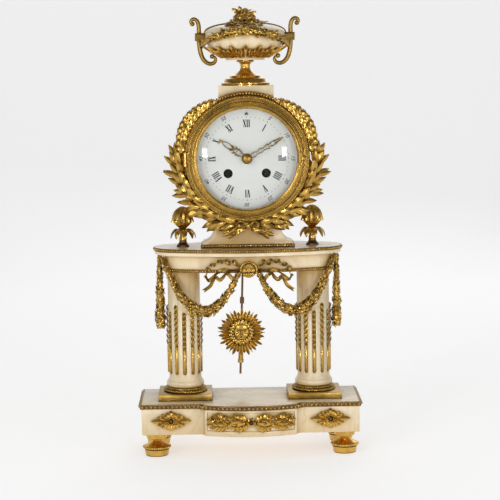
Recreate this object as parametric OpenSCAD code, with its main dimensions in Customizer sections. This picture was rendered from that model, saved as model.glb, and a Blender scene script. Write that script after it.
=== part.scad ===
/* [Base] */
// Width of the marble base
base_w = 238; // [210:1:270]
// Height of the marble base
base_h = 34; // [28:1:44]
// Depth of the base at its wings
base_wing_d = 92; // [86:1:110]
// How far the bowed middle stands in front of the wings
base_bow = 18; // [12:1:24]
// Half width of the bowed middle
base_mid_half = 50; // [44:1:56]
// Radius of the cove between a wing and the middle
base_cove_r = 8; // [5:1:10]
// Height of the toupie feet
foot_h = 25; // [20:1:32]
// Largest radius of a foot
foot_r = 15; // [12:0.5:18]
// Distance of each foot axis from the ends and the back of the base
foot_inset = 15.5; // [15:0.5:24]
// Height of the bead moulding round the base
bead_h = 5; // [4:0.5:7]
// Thickness of the bead moulding round the base
bead_t = 1.6; // [1:0.1:2.4]

/* [Columns] */
// Distance of each column axis from the middle
col_x = 71.5; // [64:0.5:78]
// Radius of the marble shaft
col_r = 17.8; // [15:0.1:20]
// Number of flutes round a shaft
flute_count = 12; // [8:1:14]
// Width of a flute
flute_w = 3.8; // [3:0.1:5]
// Depth of a flute
flute_depth = 1.8; // [1.2:0.1:2.4]
// Height of the flute ends above the foot of the column
flute_foot = 14; // [10:0.5:18]
// Length of a long flute
flute_long = 78; // [60:0.5:84]
// Length of a short flute
flute_short = 70; // [50:0.5:76]
// Side of the square plinth under a column
plinth_w = 59; // [52:0.5:64]
// Height of the square plinth
plinth_h = 7; // [5:0.5:10]
// Height of the gilt ring between plinth and column
ring_h = 6; // [4:0.5:9]
// Radius of the tie rods
rod_r = 3; // [2:0.1:4]

/* [Entablature] */
// Half width of the top slab
slab_a = 102.7; // [96:0.1:112]
// Half depth of the top slab
slab_b = 46; // [42:0.5:50]
// Height of the top slab
slab_h = 9.3; // [7:0.1:14]
// How far the slab stands out over the frieze
slab_over = 10; // [6:0.5:13]
// Height of the frieze
frieze_h = 16.7; // [13:0.1:24]
// Height of the rope moulding under the frieze
rope_h = 3.4; // [2.5:0.1:5]
// Thickness of the rope mouldings
rope_t = 1.7; // [1:0.1:2.5]
// Length of the slot that the pendulum swings in
slot_w = 32; // [28:0.5:40]
// Width of the slot that the pendulum swings in
slot_d = 9; // [7:0.5:11]
// Height of the finials
finial_h = 44.5; // [36:0.5:52]

/* [Drum] */
// Height of the dial centre above the entablature
dial_rise = 97.7; // [92:0.1:110]
// Outer radius of the drum
drum_r = 60; // [58:0.1:64]
// Wall of the drum
drum_wall = 1.5; // [1:0.1:2.5]
// Outer radius of the fixed bezel frame
frame_r = 68; // [67:0.1:72]
// Inner radius of the bezel door, round the glass
sight_r = 54; // [52:0.1:55]
// Outer radius of the bezel door
door_r = 64.4; // [62:0.1:65]
// Rise of the convex glass
glass_rise = 6; // [4:0.5:8]
// Thickness of the glass
glass_t = 1.6; // [1:0.1:2.2]
// Thickness of the enamel dial
dial_t = 1.6; // [1:0.1:2.2]
// Half width of the marble support at its foot
support_half = 49; // [44:0.5:54]
// Half width of the marble support at its waist
support_waist = 36.5; // [32:0.5:40]
// Half width of the marble block under the urn
pedestal_half = 30; // [28:0.5:36]
// Height of that block above the drum
pedestal_rise = 18.5; // [15:0.5:26]

/* [Movement] */
// Radius of the movement plates
plate_r = 50; // [49.5:0.1:53]
// Thickness of the movement plates
plate_t = 2; // [1.5:0.1:2.5]
// Space between the movement plates
plate_gap = 30; // [29.5:0.1:32]
// Side distance of the winding squares from the middle
wind_x = 20.7; // [20.4:0.1:22]
// Drop of the winding squares below the dial centre
wind_drop = 16; // [15:0.1:17]
// Radius of the wheel arbors
arbor_r = 1.2; // [1:0.05:1.4]
// Radial clearance of every running fit
run_gap = 0.05; // [0.02:0.01:0.1]
// Length of the minute hand from its axis
minute_len = 45; // [38:0.5:48]
// Length of the hour hand from its axis
hour_len = 37; // [28:0.5:40]
// Minutes shown by the hands at rest
shown_minutes = 10; // [0:1:59]
// Hours shown by the hands at rest
shown_hours = 10; // [0:1:11]

/* [Pendulum] */
// Height of the suspension above the dial centre
hang_rise = 38; // [37:0.5:39]
// Distance from the suspension to the middle of the bob
pend_len = 235.4; // [215:0.1:265]
// Room between the tip of the pendulum and the base
swing_room = 20.6; // [12:0.1:30]
// Outer radius of the sunburst bob
bob_r = 27; // [20:0.5:30]
// Angle that the pendulum hangs at, swung to the left
pend_angle = 2; // [0:0.1:3]
// Radius of the pendulum rod
pend_rod_r = 1.2; // [0.8:0.1:1.3]

/* [Urn] */
// Height of the gilt foot of the urn
urn_foot_h = 27.5; // [22:0.5:34]
// Radius of the urn at its neck
urn_r = 43.5; // [38:0.5:46]
// Height of the marble bowl
urn_bowl_h = 30; // [26:0.5:36]
// Height of the domed lid
urn_lid_h = 10; // [7:0.5:14]
// Height of the flower bouquet over the lid
bouquet_h = 16.5; // [12:0.5:22]

/* [Hidden] */
$fn = 64;

marble = [0.93, 0.87, 0.74];
gilt = [0.72, 0.52, 0.18];
bronze = [0.32, 0.22, 0.09];
steel = [0.55, 0.56, 0.58];
brass = [0.80, 0.66, 0.34];

// Clearance of a loose hole round a rod or stud
fit_gap = 0.2;
// Gap between pieces that lie close without touching
seat_gap = 0.1;

// Places along the depth: Y runs from front to back, with 0 in the middle of the base
pin_over = 2.4;
base_back_y = (base_wing_d + base_bow + pin_over) / 2;
wing_y = base_back_y - base_wing_d;
bow_y = wing_y - base_bow;
// The bow is a short straight step and then an arc
bow_sag = base_bow - base_cove_r;
bow_r = (base_mid_half * base_mid_half + bow_sag * bow_sag) / (2 * bow_sag);
bow_centre_y = bow_y + bow_r;
ring_over = 1.2;
col_y = base_back_y - slab_b - ring_over;

// Length of the pendulum rod below the middle of the bob
rod_tail = 48;
// The columns are as tall as the hanging pendulum needs
col_h = swing_room + rod_tail + pend_len - hang_rise - dial_rise - slab_h - frieze_h - ring_h - plinth_h;

// Heights, from the floor up
base_top = foot_h + base_h;
plinth_top = base_top + plinth_h;
col_foot = plinth_top + ring_h;
frieze_z = col_foot + col_h;
slab_z = frieze_z + frieze_h;
entab_top = slab_z + slab_h;
dial_z = entab_top + dial_rise;
drum_top = dial_z + drum_r;
pedestal_top = drum_top + pedestal_rise;
bowl_z = pedestal_top + urn_foot_h;
rim_z = bowl_z + urn_bowl_h;
lid_top = rim_z + urn_lid_h;

frieze_a = slab_a - slab_over;
frieze_b = slab_b - slab_over * 0.8;
stud_r = 2.4;
stud_len = 10;

// Places of the drum's pieces along Y
frame_y = -27;
frame_d = 7;
drum_y = frame_y + frame_d;
drum_len = 68;
drum_back = drum_y + drum_len;
door_y = frame_y - seat_gap;
door_d = 9;
dial_back = drum_y - 1.6;
dial_front = dial_back - dial_t;
plate_front = drum_y + 6;
plate_back = plate_front + plate_t + plate_gap;
inside_y = plate_front + plate_t;
pend_y = plate_back + plate_t + 10.5;
support_y0 = -14;
support_y1 = pend_y - slot_d / 2 - 2;
pedestal_d = 54;

function lerp(a, b, t) = a + (b - a) * t;
function unit(v) = v / norm(v);
// Radii of the end and side arcs of an oval with half axes a and b
function end_arc(b) = b * 0.68;
function side_arc(a, b) =
    (pow(a - end_arc(b), 2) + b * b - pow(end_arc(b), 2)) / (2 * (b - end_arc(b)));
function arc_join(a, b) =
    a - end_arc(b) + end_arc(b) * cos(atan2(side_arc(a, b) - b, a - end_arc(b)));
// Front of that oval at a place x
function oval_front(a, b, x) = x < arc_join(a, b)
    ? col_y - sqrt(pow(side_arc(a, b), 2) - x * x) + side_arc(a, b) - b
    : col_y - sqrt(max(0, pow(end_arc(b), 2) - pow(x - a + end_arc(b), 2)));

// A closed tube through the centres in path, with its own radius at each, and ref off its way
module tube(path, radii, sides, ref) {
    n = len(path);
    function way(i) = unit(path[min(i + 1, n - 1)] - path[max(i - 1, 0)]);
    points = [for (i = [0 : n - 1])
        let (t = way(i), u = unit(cross(t, ref)), v = cross(t, u))
        for (j = [0 : sides - 1])
            path[i] + radii[i] * (cos(360 * j / sides) * u + sin(360 * j / sides) * v)];
    sides_faces = [for (i = [0 : n - 2]) for (j = [0 : sides - 1])
        let (k = (j + 1) % sides)
        each [[i * sides + j, (i + 1) * sides + j, (i + 1) * sides + k],
            [i * sides + j, (i + 1) * sides + k, i * sides + k]]];
    first_cap = [for (j = [0 : sides - 1]) j];
    last_cap = [for (j = [sides - 1 : -1 : 0]) (n - 1) * sides + j];
    polyhedron(points, concat(sides_faces, [first_cap, last_cap]), convexity = 6);
}

// A round bar or bore along Y, from y0 to y1, at x and z
module bar_y(r, y0, y1, x = 0, z = dial_z) {
    translate([x, y1, z])
        rotate([90, 0, 0])
            cylinder(r = r, h = y1 - y0);
}

// Turned about the Y axis at x and z: the outline has the radius and the place along Y
module turned_y(outline, x = 0, z = dial_z) {
    translate([x, 0, z])
        rotate([90, 0, 0])
            rotate_extrude($fn = 96)
                polygon([for (p = outline) [p[0], -p[1]]]);
}

// A flat piece in the plane of the dial, from y0 to y1, at x and z
module flat_y(y0, y1, x = 0, z = dial_z) {
    translate([x, y1, z])
        rotate([90, 0, 0])
            linear_extrude(y1 - y0)
                children();
}

module both_sides() {
    children();
    mirror([1, 0, 0])
        children();
}

// An oval of four arcs with half axes a and b
module oval(a, b) {
    end_r = end_arc(b);
    side_r = side_arc(a, b);
    join_x = arc_join(a, b);
    intersection() {
        translate([0, side_r - b])
            circle(side_r, $fn = 200);
        translate([0, b - side_r])
            circle(side_r, $fn = 200);
        square([2 * join_x, 4 * b], center = true);
    }
    for (s = [-1, 1])
        translate([s * (a - end_r), 0])
            circle(end_r);
}

// Outline of the base, grown outwards by grow
module base_outline(grow) {
    translate([-base_w / 2 - grow, wing_y - grow])
        square([base_w + 2 * grow, base_wing_d + grow]);
    step = base_cove_r;
    half = base_mid_half + grow;
    translate([-half, wing_y - step - grow])
        square([2 * half, step + 2 * grow]);
    intersection() {
        translate([0, bow_centre_y])
            circle(bow_r + grow, $fn = 200);
        translate([-half, bow_y - 2 * grow])
            square([2 * half, base_bow]);
    }
    both_sides()
        difference() {
            translate([half - seat_gap, wing_y - step - grow])
                square([step - grow + seat_gap, step + grow]);
            translate([half + step - grow, wing_y - step - grow])
                circle(step - grow);
        }
}

module at_columns() {
    for (s = [-1, 1])
        translate([s * col_x, col_y, 0])
            children();
}

module at_feet() {
    for (x = [-1, 1], y = [wing_y + foot_inset, base_back_y - foot_inset])
        translate([x * (base_w / 2 - foot_inset), y, 0])
            children();
}

panel_depth = 1.2;
panel_half = base_mid_half - 2.5;
panel_h = base_h * 0.6;

// Cut of the sunk panel in the bowed face
module panel_cut() {
    translate([0, bow_centre_y, foot_h + base_h / 2 - 1 - panel_h / 2])
        linear_extrude(panel_h)
            difference() {
                translate([-panel_half, -bow_r - 2])
                    square([2 * panel_half, bow_r / 2]);
                circle(bow_r - panel_depth, $fn = 200);
            }
}

bolt_head_r = 7;
bolt_head_h = 4;
bolt_well = 6;

module base_block() {
    color(marble)
        difference() {
            translate([0, 0, foot_h])
                linear_extrude(base_h)
                    base_outline(0);
            panel_cut();
            at_feet()
                translate([0, 0, foot_h - 1])
                    cylinder(r = stud_r + fit_gap, h = stud_len + 2);
            at_columns() {
                translate([0, 0, foot_h - 1])
                    cylinder(r = bolt_head_r + 1, h = bolt_well + 1);
                cylinder(r = rod_r + fit_gap, h = base_top + 1);
            }
        }
}

module base_bead_moulding() {
    strip_z = base_top - bead_h;
    mitre = wing_y + 1;
    color(gilt) {
        difference() {
            translate([0, 0, strip_z])
                linear_extrude(bead_h)
                    difference() {
                        base_outline(bead_t);
                        base_outline(0);
                    }
            translate([-base_w, mitre, 0])
                cube([2 * base_w, 2 * base_wing_d, 2 * base_top]);
        }
        for (s = [0, 1])
            mirror([s, 0, 0])
                translate([base_w / 2, mitre + seat_gap, strip_z])
                    cube([bead_t, base_back_y - mitre - seat_gap, bead_h]);
    }
}

// A leaf that lies in the plane of the dial, its foot at the origin and its tip along X
module leaf(length, width, thick) {
    half = width / 2;
    hull()
        polyhedron([[0, 0.4 * thick, 0], [length, 0, 0], [0.42 * length, 0, half],
            [0.42 * length, 0, -half], [0.3 * length, -0.6 * thick, 0], [0, -0.3 * thick, 0.2 * half],
            [0, -0.3 * thick, -0.2 * half], [0.4 * length, 0.4 * thick, 0]],
            [[0, 1, 2], [0, 1, 3], [1, 2, 4], [1, 3, 4], [0, 2, 5], [0, 3, 6], [4, 5, 6], [0, 1, 7]]);
}

// Half the thickness of an ornament that lies on a face
mount_off = 1.2;

// Places a piece on the bowed face, at a distance s along it and a height z
module on_bow(s, z) {
    translate([0, bow_centre_y, z])
        rotate([0, 0, s / bow_r * 180 / PI])
            translate([0, panel_depth - bow_r - mount_off, 0])
                children();
}

panel_pairs = 6;
panel_step = 6.6;

module base_panel_mount() {
    middle = foot_h + base_h / 2 - 1;
    color(gilt) {
        for (side = [-1, 1], i = [0 : panel_pairs - 1], up = [-1, 1])
            on_bow(side * (3 + i * panel_step), middle)
                rotate([0, side > 0 ? up * 32 : 180 - up * 32, 0])
                    leaf(12, 5, 2.4);
        for (side = [-1, 1], i = [0 : panel_pairs - 1])
            hull()
                for (j = [i, i + 1])
                    on_bow(side * j * panel_step, middle)
                        sphere(1.1, $fn = 8);
    }
}

rosette_x = 87;

module base_rosettes() {
    middle = foot_h + base_h / 2 - 1;
    color(gilt)
        for (side = [-1, 1])
            translate([side * rosette_x, wing_y - mount_off, middle]) {
                for (a = [0, 180])
                    rotate([0, a, 0])
                        leaf(20, 10, 2.6);
                for (a = [35, 90, 145, 215, 270, 325])
                    rotate([0, a, 0])
                        leaf(a % 90 == 0 ? 9 : 13, 6, 2.6);
                translate([0, 0.8, 0])
                    rotate([90, 0, 0])
                        hull()
                            cylinder(r1 = 3.8, r2 = 2.4, h = 3.4, $fn = 12);
            }
}

module mount_pins() {
    middle = foot_h + base_h / 2 - 1;
    pin_r = 1.5;
    color(steel) {
        for (side = [-1, 1])
            bar_y(pin_r, wing_y - 5, wing_y + 6, side * rosette_x, middle);
        bar_y(pin_r, bow_y - pin_over, bow_y + 6, 0, middle);
        for (s = [0, 1])
            mirror([s, 0, 0])
                translate([base_w / 2 - 5, col_y, base_top - bead_h / 2])
                    rotate([0, 90, 0])
                        cylinder(r = 1.3, h = 5 + bead_t + 0.6);
    }
}

module toupie_feet() {
    h = foot_h;
    color(gilt)
        at_feet()
            rotate_extrude()
                polygon([[0, 0], [foot_r - 2.6, 0], [foot_r - 2.2, 0.8], [foot_r - 2.2, h * 0.17],
                    [foot_r - 1.6, h * 0.2], [foot_r - 1.6, h * 0.28], [foot_r - 0.4, h * 0.3],
                    [foot_r, h * 0.36], [foot_r - 0.6, h * 0.43], [foot_r - 6, h * 0.56],
                    [foot_r * 0.28, h * 0.72], [foot_r * 0.24, h * 0.82], [foot_r * 0.4, h * 0.88],
                    [foot_r * 0.46, h * 0.93], [foot_r * 0.46, h], [stud_r, h],
                    [stud_r, h + stud_len], [0, h + stud_len]]);
}

module flute_cut(length) {
    half = flute_w / 2;
    translate([0, 0, col_foot + flute_foot])
        rotate([90, 0, 90])
            translate([0, 0, col_r - flute_depth])
                linear_extrude(flute_depth + 2) {
                    translate([0, half])
                        circle(half, $fn = 24);
                    translate([-half, half])
                        square([flute_w, length - flute_w]);
                    translate([0, length - half])
                        circle(half, $fn = 24);
                }
}

// Angle of flute i round a shaft: the first looks to the front
function flute_angle(i) = -90 + 360 * i / flute_count;
function flute_length(i) = i % 2 == 0 ? flute_short : flute_long;

module column(side) {
    color(marble)
        translate([side * col_x, col_y, 0])
            difference() {
                translate([0, 0, col_foot])
                    rotate_extrude()
                        polygon([[rod_r + fit_gap, 0], [col_r + 2.2, 0], [col_r + 3, 1.6],
                            [col_r + 3, 4.4], [col_r + 2.2, 6], [col_r + 1, 7], [col_r + 1, 8],
                            [col_r + 0.3, 9], [col_r, 11], [col_r, col_h],
                            [rod_r + fit_gap, col_h]]);
                for (i = [0 : flute_count - 1])
                    rotate([0, 0, flute_angle(i)])
                        flute_cut(flute_length(i));
            }
}

module column_left() {
    column(-1);
}

module column_right() {
    column(1);
}

module column_plinths() {
    ring_r = col_r + 5.9;
    color(gilt)
        at_columns()
            difference() {
                union() {
                    translate([-plinth_w / 2, -plinth_w / 2, base_top])
                        cube([plinth_w, plinth_w, plinth_h]);
                    translate([0, 0, plinth_top])
                        rotate_extrude()
                            polygon([[0, 0], [ring_r - 0.6, 0], [ring_r, ring_h * 0.17],
                                [ring_r, ring_h * 0.4], [ring_r - 1.2, ring_h * 0.56],
                                [ring_r - 1.8, ring_h * 0.6], [ring_r - 1.8, ring_h * 0.85],
                                [ring_r - 2.6, ring_h], [0, ring_h]]);
                }
                translate([0, 0, base_top - 1])
                    cylinder(r = rod_r + fit_gap, h = plinth_h + ring_h + 2);
            }
}

husk_count = 7;

// Half outline of a gilt rod below and a chain of husks above it
function insert_outline(length) =
    let (rod_len = length * 0.42, r = flute_w / 2 - 0.2, husk = (length - rod_len - 1) / husk_count)
    concat([[0, 0], [r * 0.6, 0], [r, 1], [r, rod_len - 1], [r * 0.6, rod_len]],
        [for (i = [0 : husk_count - 1]) each [[r * 0.45, rod_len + husk * (i + 0.12)],
            [r, rod_len + husk * (i + 0.62)], [r * 0.4, rod_len + husk * (i + 0.98)]]],
        [[0, length - 1]]);

module flute_inserts() {
    bed = col_r - flute_depth + flute_w / 2 - 0.15;
    color(gilt)
        at_columns()
            for (i = [0 : flute_count - 1])
                rotate([0, 0, flute_angle(i)])
                    translate([bed, 0, col_foot + flute_foot + 0.5])
                        rotate_extrude($fn = 16)
                            polygon(insert_outline(flute_length(i)));
}

rod_over = 9;
urn_rod_r = 2;
urn_nut_h = 3;
urn_nut_r = 5;

module tie_rods() {
    head_z = foot_h + bolt_well - bolt_head_h;
    rod_top = entab_top + rod_over;
    nut_z = drum_top + 5;
    color(steel) {
        at_columns() {
            translate([0, 0, head_z])
                cylinder(r = bolt_head_r, h = bolt_head_h, $fn = 6);
            translate([0, 0, head_z])
                cylinder(r = rod_r, h = rod_top - head_z);
        }
        translate([0, col_y, nut_z]) {
            cylinder(r = urn_nut_r, h = urn_nut_h, $fn = 6);
            cylinder(r = urn_rod_r, h = lid_top + 4 - nut_z);
        }
    }
}

module entablature() {
    color(marble)
        difference() {
            union() {
                translate([0, col_y, frieze_z])
                    linear_extrude(frieze_h + 1)
                        oval(frieze_a, frieze_b);
                translate([0, col_y, slab_z])
                    linear_extrude(slab_h * 0.25)
                        oval(slab_a - 3, slab_b - 3);
                translate([0, col_y, slab_z + slab_h * 0.2])
                    linear_extrude(slab_h * 0.8)
                        oval(slab_a, slab_b);
            }
            at_columns()
                translate([0, 0, frieze_z - 1])
                    cylinder(r = rod_r + fit_gap, h = frieze_h + slab_h + 2);
            translate([-slot_w / 2, pend_y - slot_d / 2, frieze_z - 1])
                cube([slot_w, slot_d, frieze_h + slab_h + 2]);
        }
}

module entablature_bead_ring() {
    ring_z = entab_top - 3.8;
    color(gilt)
        translate([0, col_y, ring_z])
            linear_extrude(3.8)
                difference() {
                    oval(slab_a + ring_over, slab_b + ring_over);
                    oval(slab_a, slab_b);
                }
}

module rope_mouldings() {
    support_rope = 4;
    color(gilt) {
        translate([0, col_y, frieze_z])
            linear_extrude(rope_h)
                difference() {
                    oval(frieze_a + rope_t, frieze_b + rope_t);
                    oval(frieze_a, frieze_b);
                }
        translate([0, 0, entab_top])
            linear_extrude(support_rope)
                difference() {
                    translate([-support_half - rope_t, support_y0 - rope_t])
                        square([2 * (support_half + rope_t), support_y1 - support_y0 + rope_t]);
                    translate([-support_half, support_y0])
                        square([2 * support_half, support_y1 - support_y0 + 1]);
                }
    }
}

swag_rings = 26;
swag_x0 = 11;
swag_sag = 47;
swag_out = 5;
drop_gap = 3.4;
drop_len = 78;
drop_rings = 20;

// A garland from the middle of the frieze to its end, hanging in front of a column
module swag(side) {
    near = rope_t + 1.2;
    x1 = frieze_a + near - 2;
    z0 = frieze_z - 0.5;
    z1 = slab_z - 3.4;
    path = [for (i = [0 : swag_rings])
        let (t = i / swag_rings, x = lerp(swag_x0, x1, t), off = near + 1.8 * min(1, 25 * (1 - t)))
        [side * x, oval_front(frieze_a + off, frieze_b + off, x) - swag_out * sin(180 * t),
            lerp(z0, z1, t) - swag_sag * 4 * t * (1 - t)]];
    radii = [for (i = [0 : swag_rings])
        let (t = i / swag_rings)
        2.2 + 2 * sin(180 * t) + (i % 2 == 0 ? 0.5 : -0.3)];
    tube(path, radii, 8, [0, 1, 0]);
}

// A tapered drop of flowers on a pin at the end of the frieze
module swag_drop() {
    top = slab_z - 1;
    path = [for (i = [0 : drop_rings])
        [frieze_a + rope_t + drop_gap, col_y, top - drop_len * i / drop_rings]];
    radii = [for (i = [0 : drop_rings])
        let (t = i / drop_rings)
        (t < 0.85 ? 2 + 2 * t : lerp(3.7, 4.8, (t - 0.85) / 0.15)) + (i % 2 == 0 ? 0.4 : -0.4)];
    tube(path, radii, 8, [0, 1, 0]);
    translate([frieze_a + seat_gap, col_y, top - 6])
        rotate([0, 90, 0])
            cylinder(r = 1.4, h = drop_gap + rope_t);
}

module swags() {
    color(gilt) {
        swag(-1);
        swag(1);
        both_sides()
            swag_drop();
    }
}

module frieze_rosette() {
    front = col_y - frieze_b - rope_t - seat_gap;
    middle = frieze_z + 3.5;
    color(gilt)
        turned_y([[0, front - 4.6], [2.4, front - 4.4], [3, front - 3], [7, front - 2.6],
            [8.6, front - 1.4], [8.6, front], [0, front]], 0, middle);
}

ribbon_rings = 30;

// A ribbon that leaves the rosette, curls over the frieze and hangs below it
module ribbon(side) {
    start = 9.8;
    path = [for (i = [0 : ribbon_rings])
        let (t = i / ribbon_rings, x = start + 36 * t)
        [side * x, oval_front(frieze_a, frieze_b, x) - rope_t - 1.5,
            frieze_z + 4.5 + 5.5 * sin(360 * 1.6 * t) * (1 - 0.3 * t)]];
    tail = [for (i = [0 : ribbon_rings])
        let (t = i / ribbon_rings, x = start + 38 * t)
        [side * x, oval_front(frieze_a, frieze_b, x) - rope_t - 2.2,
            frieze_z + 1.5 - 24 * t + 3.5 * sin(360 * 1.5 * t)]];
    radii = [for (i = [0 : ribbon_rings]) 1.2];
    tube(path, radii, 4, [0, 1, 0]);
    tube(tail, radii, 4, [0, 1, 0]);
}

module frieze_ribbons() {
    color(gilt) {
        ribbon(-1);
        ribbon(1);
    }
}

finial_foot_h = 7;

module finials() {
    z0 = entab_top + finial_foot_h;
    h = finial_h - finial_foot_h;
    color(gilt)
        at_columns()
            translate([0, 0, z0])
                rotate_extrude()
                    polygon([[rod_r + fit_gap, 0], [4, 0], [9, h * 0.02], [14, -h * 0.02],
                        [14.4, h * 0.03], [9, h * 0.2], [5, h * 0.28], [4.8, h * 0.35],
                        [7, h * 0.4], [12, h * 0.5], [12.8, h * 0.56], [11.4, h * 0.68],
                        [8, h * 0.82], [4.6, h * 0.93], [3, h], [0, h], [0, rod_over],
                        [rod_r + fit_gap, rod_over]]);
}

module finial_feet() {
    h = finial_foot_h;
    color(bronze)
        at_columns()
            translate([0, 0, entab_top])
                rotate_extrude()
                    polygon([[rod_r + fit_gap, 0], [7, 0], [7, h * 0.2], [5.6, h * 0.4],
                        [4.2, h * 0.7], [4, h], [rod_r + fit_gap, h]]);
}

module drum_support() {
    waist_z = 22;
    side_z = dial_rise - sqrt(drum_r * drum_r - support_waist * support_waist);
    color(marble)
        difference() {
            translate([0, support_y1, entab_top])
                rotate([90, 0, 0])
                    linear_extrude(support_y1 - support_y0)
                        polygon([[-support_half, 0], [support_half, 0], [support_half, 6],
                            for (a = [0 : 15 : 90])
                                [support_waist + (support_half - support_waist) * (1 - sin(a)),
                                    lerp(6, waist_z, 1 - cos(a))],
                            [support_waist, side_z], [-support_waist, side_z],
                            for (a = [90 : -15 : 0])
                                [-support_waist - (support_half - support_waist) * (1 - sin(a)),
                                    lerp(6, waist_z, 1 - cos(a))],
                            [-support_half, 6]]);
            bar_y(drum_r + seat_gap, support_y0 - 1, support_y1 + 1);
        }
}

module drum_case() {
    color(brass)
        difference() {
            bar_y(drum_r, drum_y, drum_back);
            bar_y(drum_r - drum_wall, drum_y - 1, drum_back + 1);
            translate([-slot_w / 2 + 4, pend_y - slot_d / 2, dial_z - drum_r - 2])
                cube([slot_w - 8, slot_d, 16]);
        }
}

hinge_r = 2.2;
pin_r = 1;
knuckle = 5;
front_hinge_x = -(door_r + 2.4);
front_hinge_y = frame_y - 1.6;
rear_hinge_x = -(drum_r - 1);
rear_ring_d = 4;
rear_door_t = 2.4;
rear_hinge_y = drum_back + rear_ring_d + 1;

// One knuckle of a hinge whose axis stands at x and y
module hinge_barrel(x, y, z0, length) {
    translate([x, y, z0])
        difference() {
            cylinder(r = hinge_r, h = length, $fn = 32);
            translate([0, 0, -1])
                cylinder(r = pin_r + run_gap, h = length + 2, $fn = 32);
        }
}

// Room for all the knuckles of a hinge
module hinge_room(x, y) {
    translate([x, y, dial_z - 1.5 * knuckle - 1])
        cylinder(r = hinge_r + 0.4, h = 3 * knuckle + 2, $fn = 32);
}

module bezel_frame() {
    flange_r = plate_r + 2;
    color(gilt) {
        difference() {
            turned_y([[door_r + 0.4, frame_y - 2.4], [frame_r - 1, frame_y - 2.4],
                [frame_r, frame_y - 1], [frame_r, drum_y - 1], [frame_r - 1, drum_y],
                [flange_r, drum_y], [flange_r, dial_back], [drum_r - 1.4, dial_back],
                [drum_r - 1.4, frame_y], [door_r + 0.4, frame_y]]);
            hinge_room(front_hinge_x, front_hinge_y);
        }
        for (z = [dial_z - 1.5 * knuckle, dial_z + 0.5 * knuckle + seat_gap])
            difference() {
                union() {
                    hinge_barrel(front_hinge_x, front_hinge_y, z, knuckle - seat_gap);
                    translate([front_hinge_x - hinge_r + 0.6, front_hinge_y, z])
                        cube([1.1, 2.6, knuckle - seat_gap]);
                }
                translate([front_hinge_x, front_hinge_y, z - 1])
                    cylinder(r = pin_r + run_gap, h = knuckle + 2, $fn = 32);
            }
    }
}

module bezel_door() {
    knob_x = 61;
    color(gilt) {
        difference() {
            turned_y([[sight_r, door_y - door_d + 2], [sight_r + 1, door_y - door_d],
                [sight_r + 2.4, door_y - door_d - 0.6], [sight_r + 3.6, door_y - door_d],
                [sight_r + 6, door_y - door_d + 1.6], [sight_r + 7, door_y - 5],
                [door_r - 1, door_y - 3.4], [door_r, door_y - 2.6], [door_r, door_y],
                [sight_r + 2, door_y], [sight_r + 2, door_y - 4.4],
                [sight_r, door_y - 4.4]]);
            for (z = [dial_z - 1.5 * knuckle, dial_z + 0.5 * knuckle])
                translate([front_hinge_x, front_hinge_y, z - seat_gap])
                    cylinder(r = hinge_r + 0.4, h = knuckle + 2 * seat_gap, $fn = 32);
            translate([front_hinge_x, front_hinge_y, dial_z - knuckle])
                cylinder(r = pin_r + run_gap, h = 2 * knuckle, $fn = 32);
        }
        difference() {
            union() {
                hinge_barrel(front_hinge_x, front_hinge_y, dial_z - 0.5 * knuckle + seat_gap,
                    knuckle - 2 * seat_gap);
                translate([front_hinge_x + 1.2, front_hinge_y - 1, dial_z - 0.5 * knuckle + seat_gap])
                    cube([3, 2.2, knuckle - 2 * seat_gap]);
            }
            translate([front_hinge_x, front_hinge_y, dial_z - knuckle])
                cylinder(r = pin_r + run_gap, h = 2 * knuckle, $fn = 32);
        }
        translate([knob_x, door_y - 5.4, dial_z])
            sphere(2.9, $fn = 32);
    }
}

module bezel_glass() {
    edge_r = sight_r + 1.7;
    edge_y = door_y - 3.9;
    sphere_r = (edge_r * edge_r + glass_rise * glass_rise) / (2 * glass_rise);
    steps = 16;
    function dome(i, back) = let (r = edge_r * i / steps)
        [r, edge_y - glass_rise + (sphere_r - sqrt(sphere_r * sphere_r - r * r)) + back];
    color([0.8, 0.9, 0.95, 0.3])
        turned_y(concat([for (i = [0 : steps]) dome(i, 0)],
            [for (i = [steps : -1 : 0]) dome(i, glass_t)]));
}

module hinge_pins() {
    color(steel) {
        translate([front_hinge_x, front_hinge_y, dial_z - 1.5 * knuckle - 0.4])
            cylinder(r = pin_r, h = 3 * knuckle + 0.8, $fn = 32);
        translate([rear_hinge_x, rear_hinge_y, dial_z - 1.5 * knuckle - 0.4])
            cylinder(r = pin_r, h = 3 * knuckle + 0.8, $fn = 32);
    }
}

rear_open_r = 51;

module rear_ring() {
    color(gilt) {
        difference() {
            turned_y([[rear_open_r, drum_back], [drum_r + 2, drum_back],
                [drum_r + 2, drum_back + rear_ring_d - 1],
                [drum_r + 1, drum_back + rear_ring_d], [rear_open_r, drum_back + rear_ring_d]]);
            hinge_room(rear_hinge_x, rear_hinge_y);
        }
        for (z = [dial_z - 1.5 * knuckle, dial_z + 0.5 * knuckle + seat_gap])
            difference() {
                union() {
                    hinge_barrel(rear_hinge_x, rear_hinge_y, z, knuckle - seat_gap);
                    translate([rear_hinge_x - hinge_r + 0.2, rear_hinge_y - 2.8, z])
                        cube([1.1, 2.8, knuckle - seat_gap]);
                }
                translate([rear_hinge_x, rear_hinge_y, z - 1])
                    cylinder(r = pin_r + run_gap, h = knuckle + 2, $fn = 32);
            }
    }
}

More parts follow.
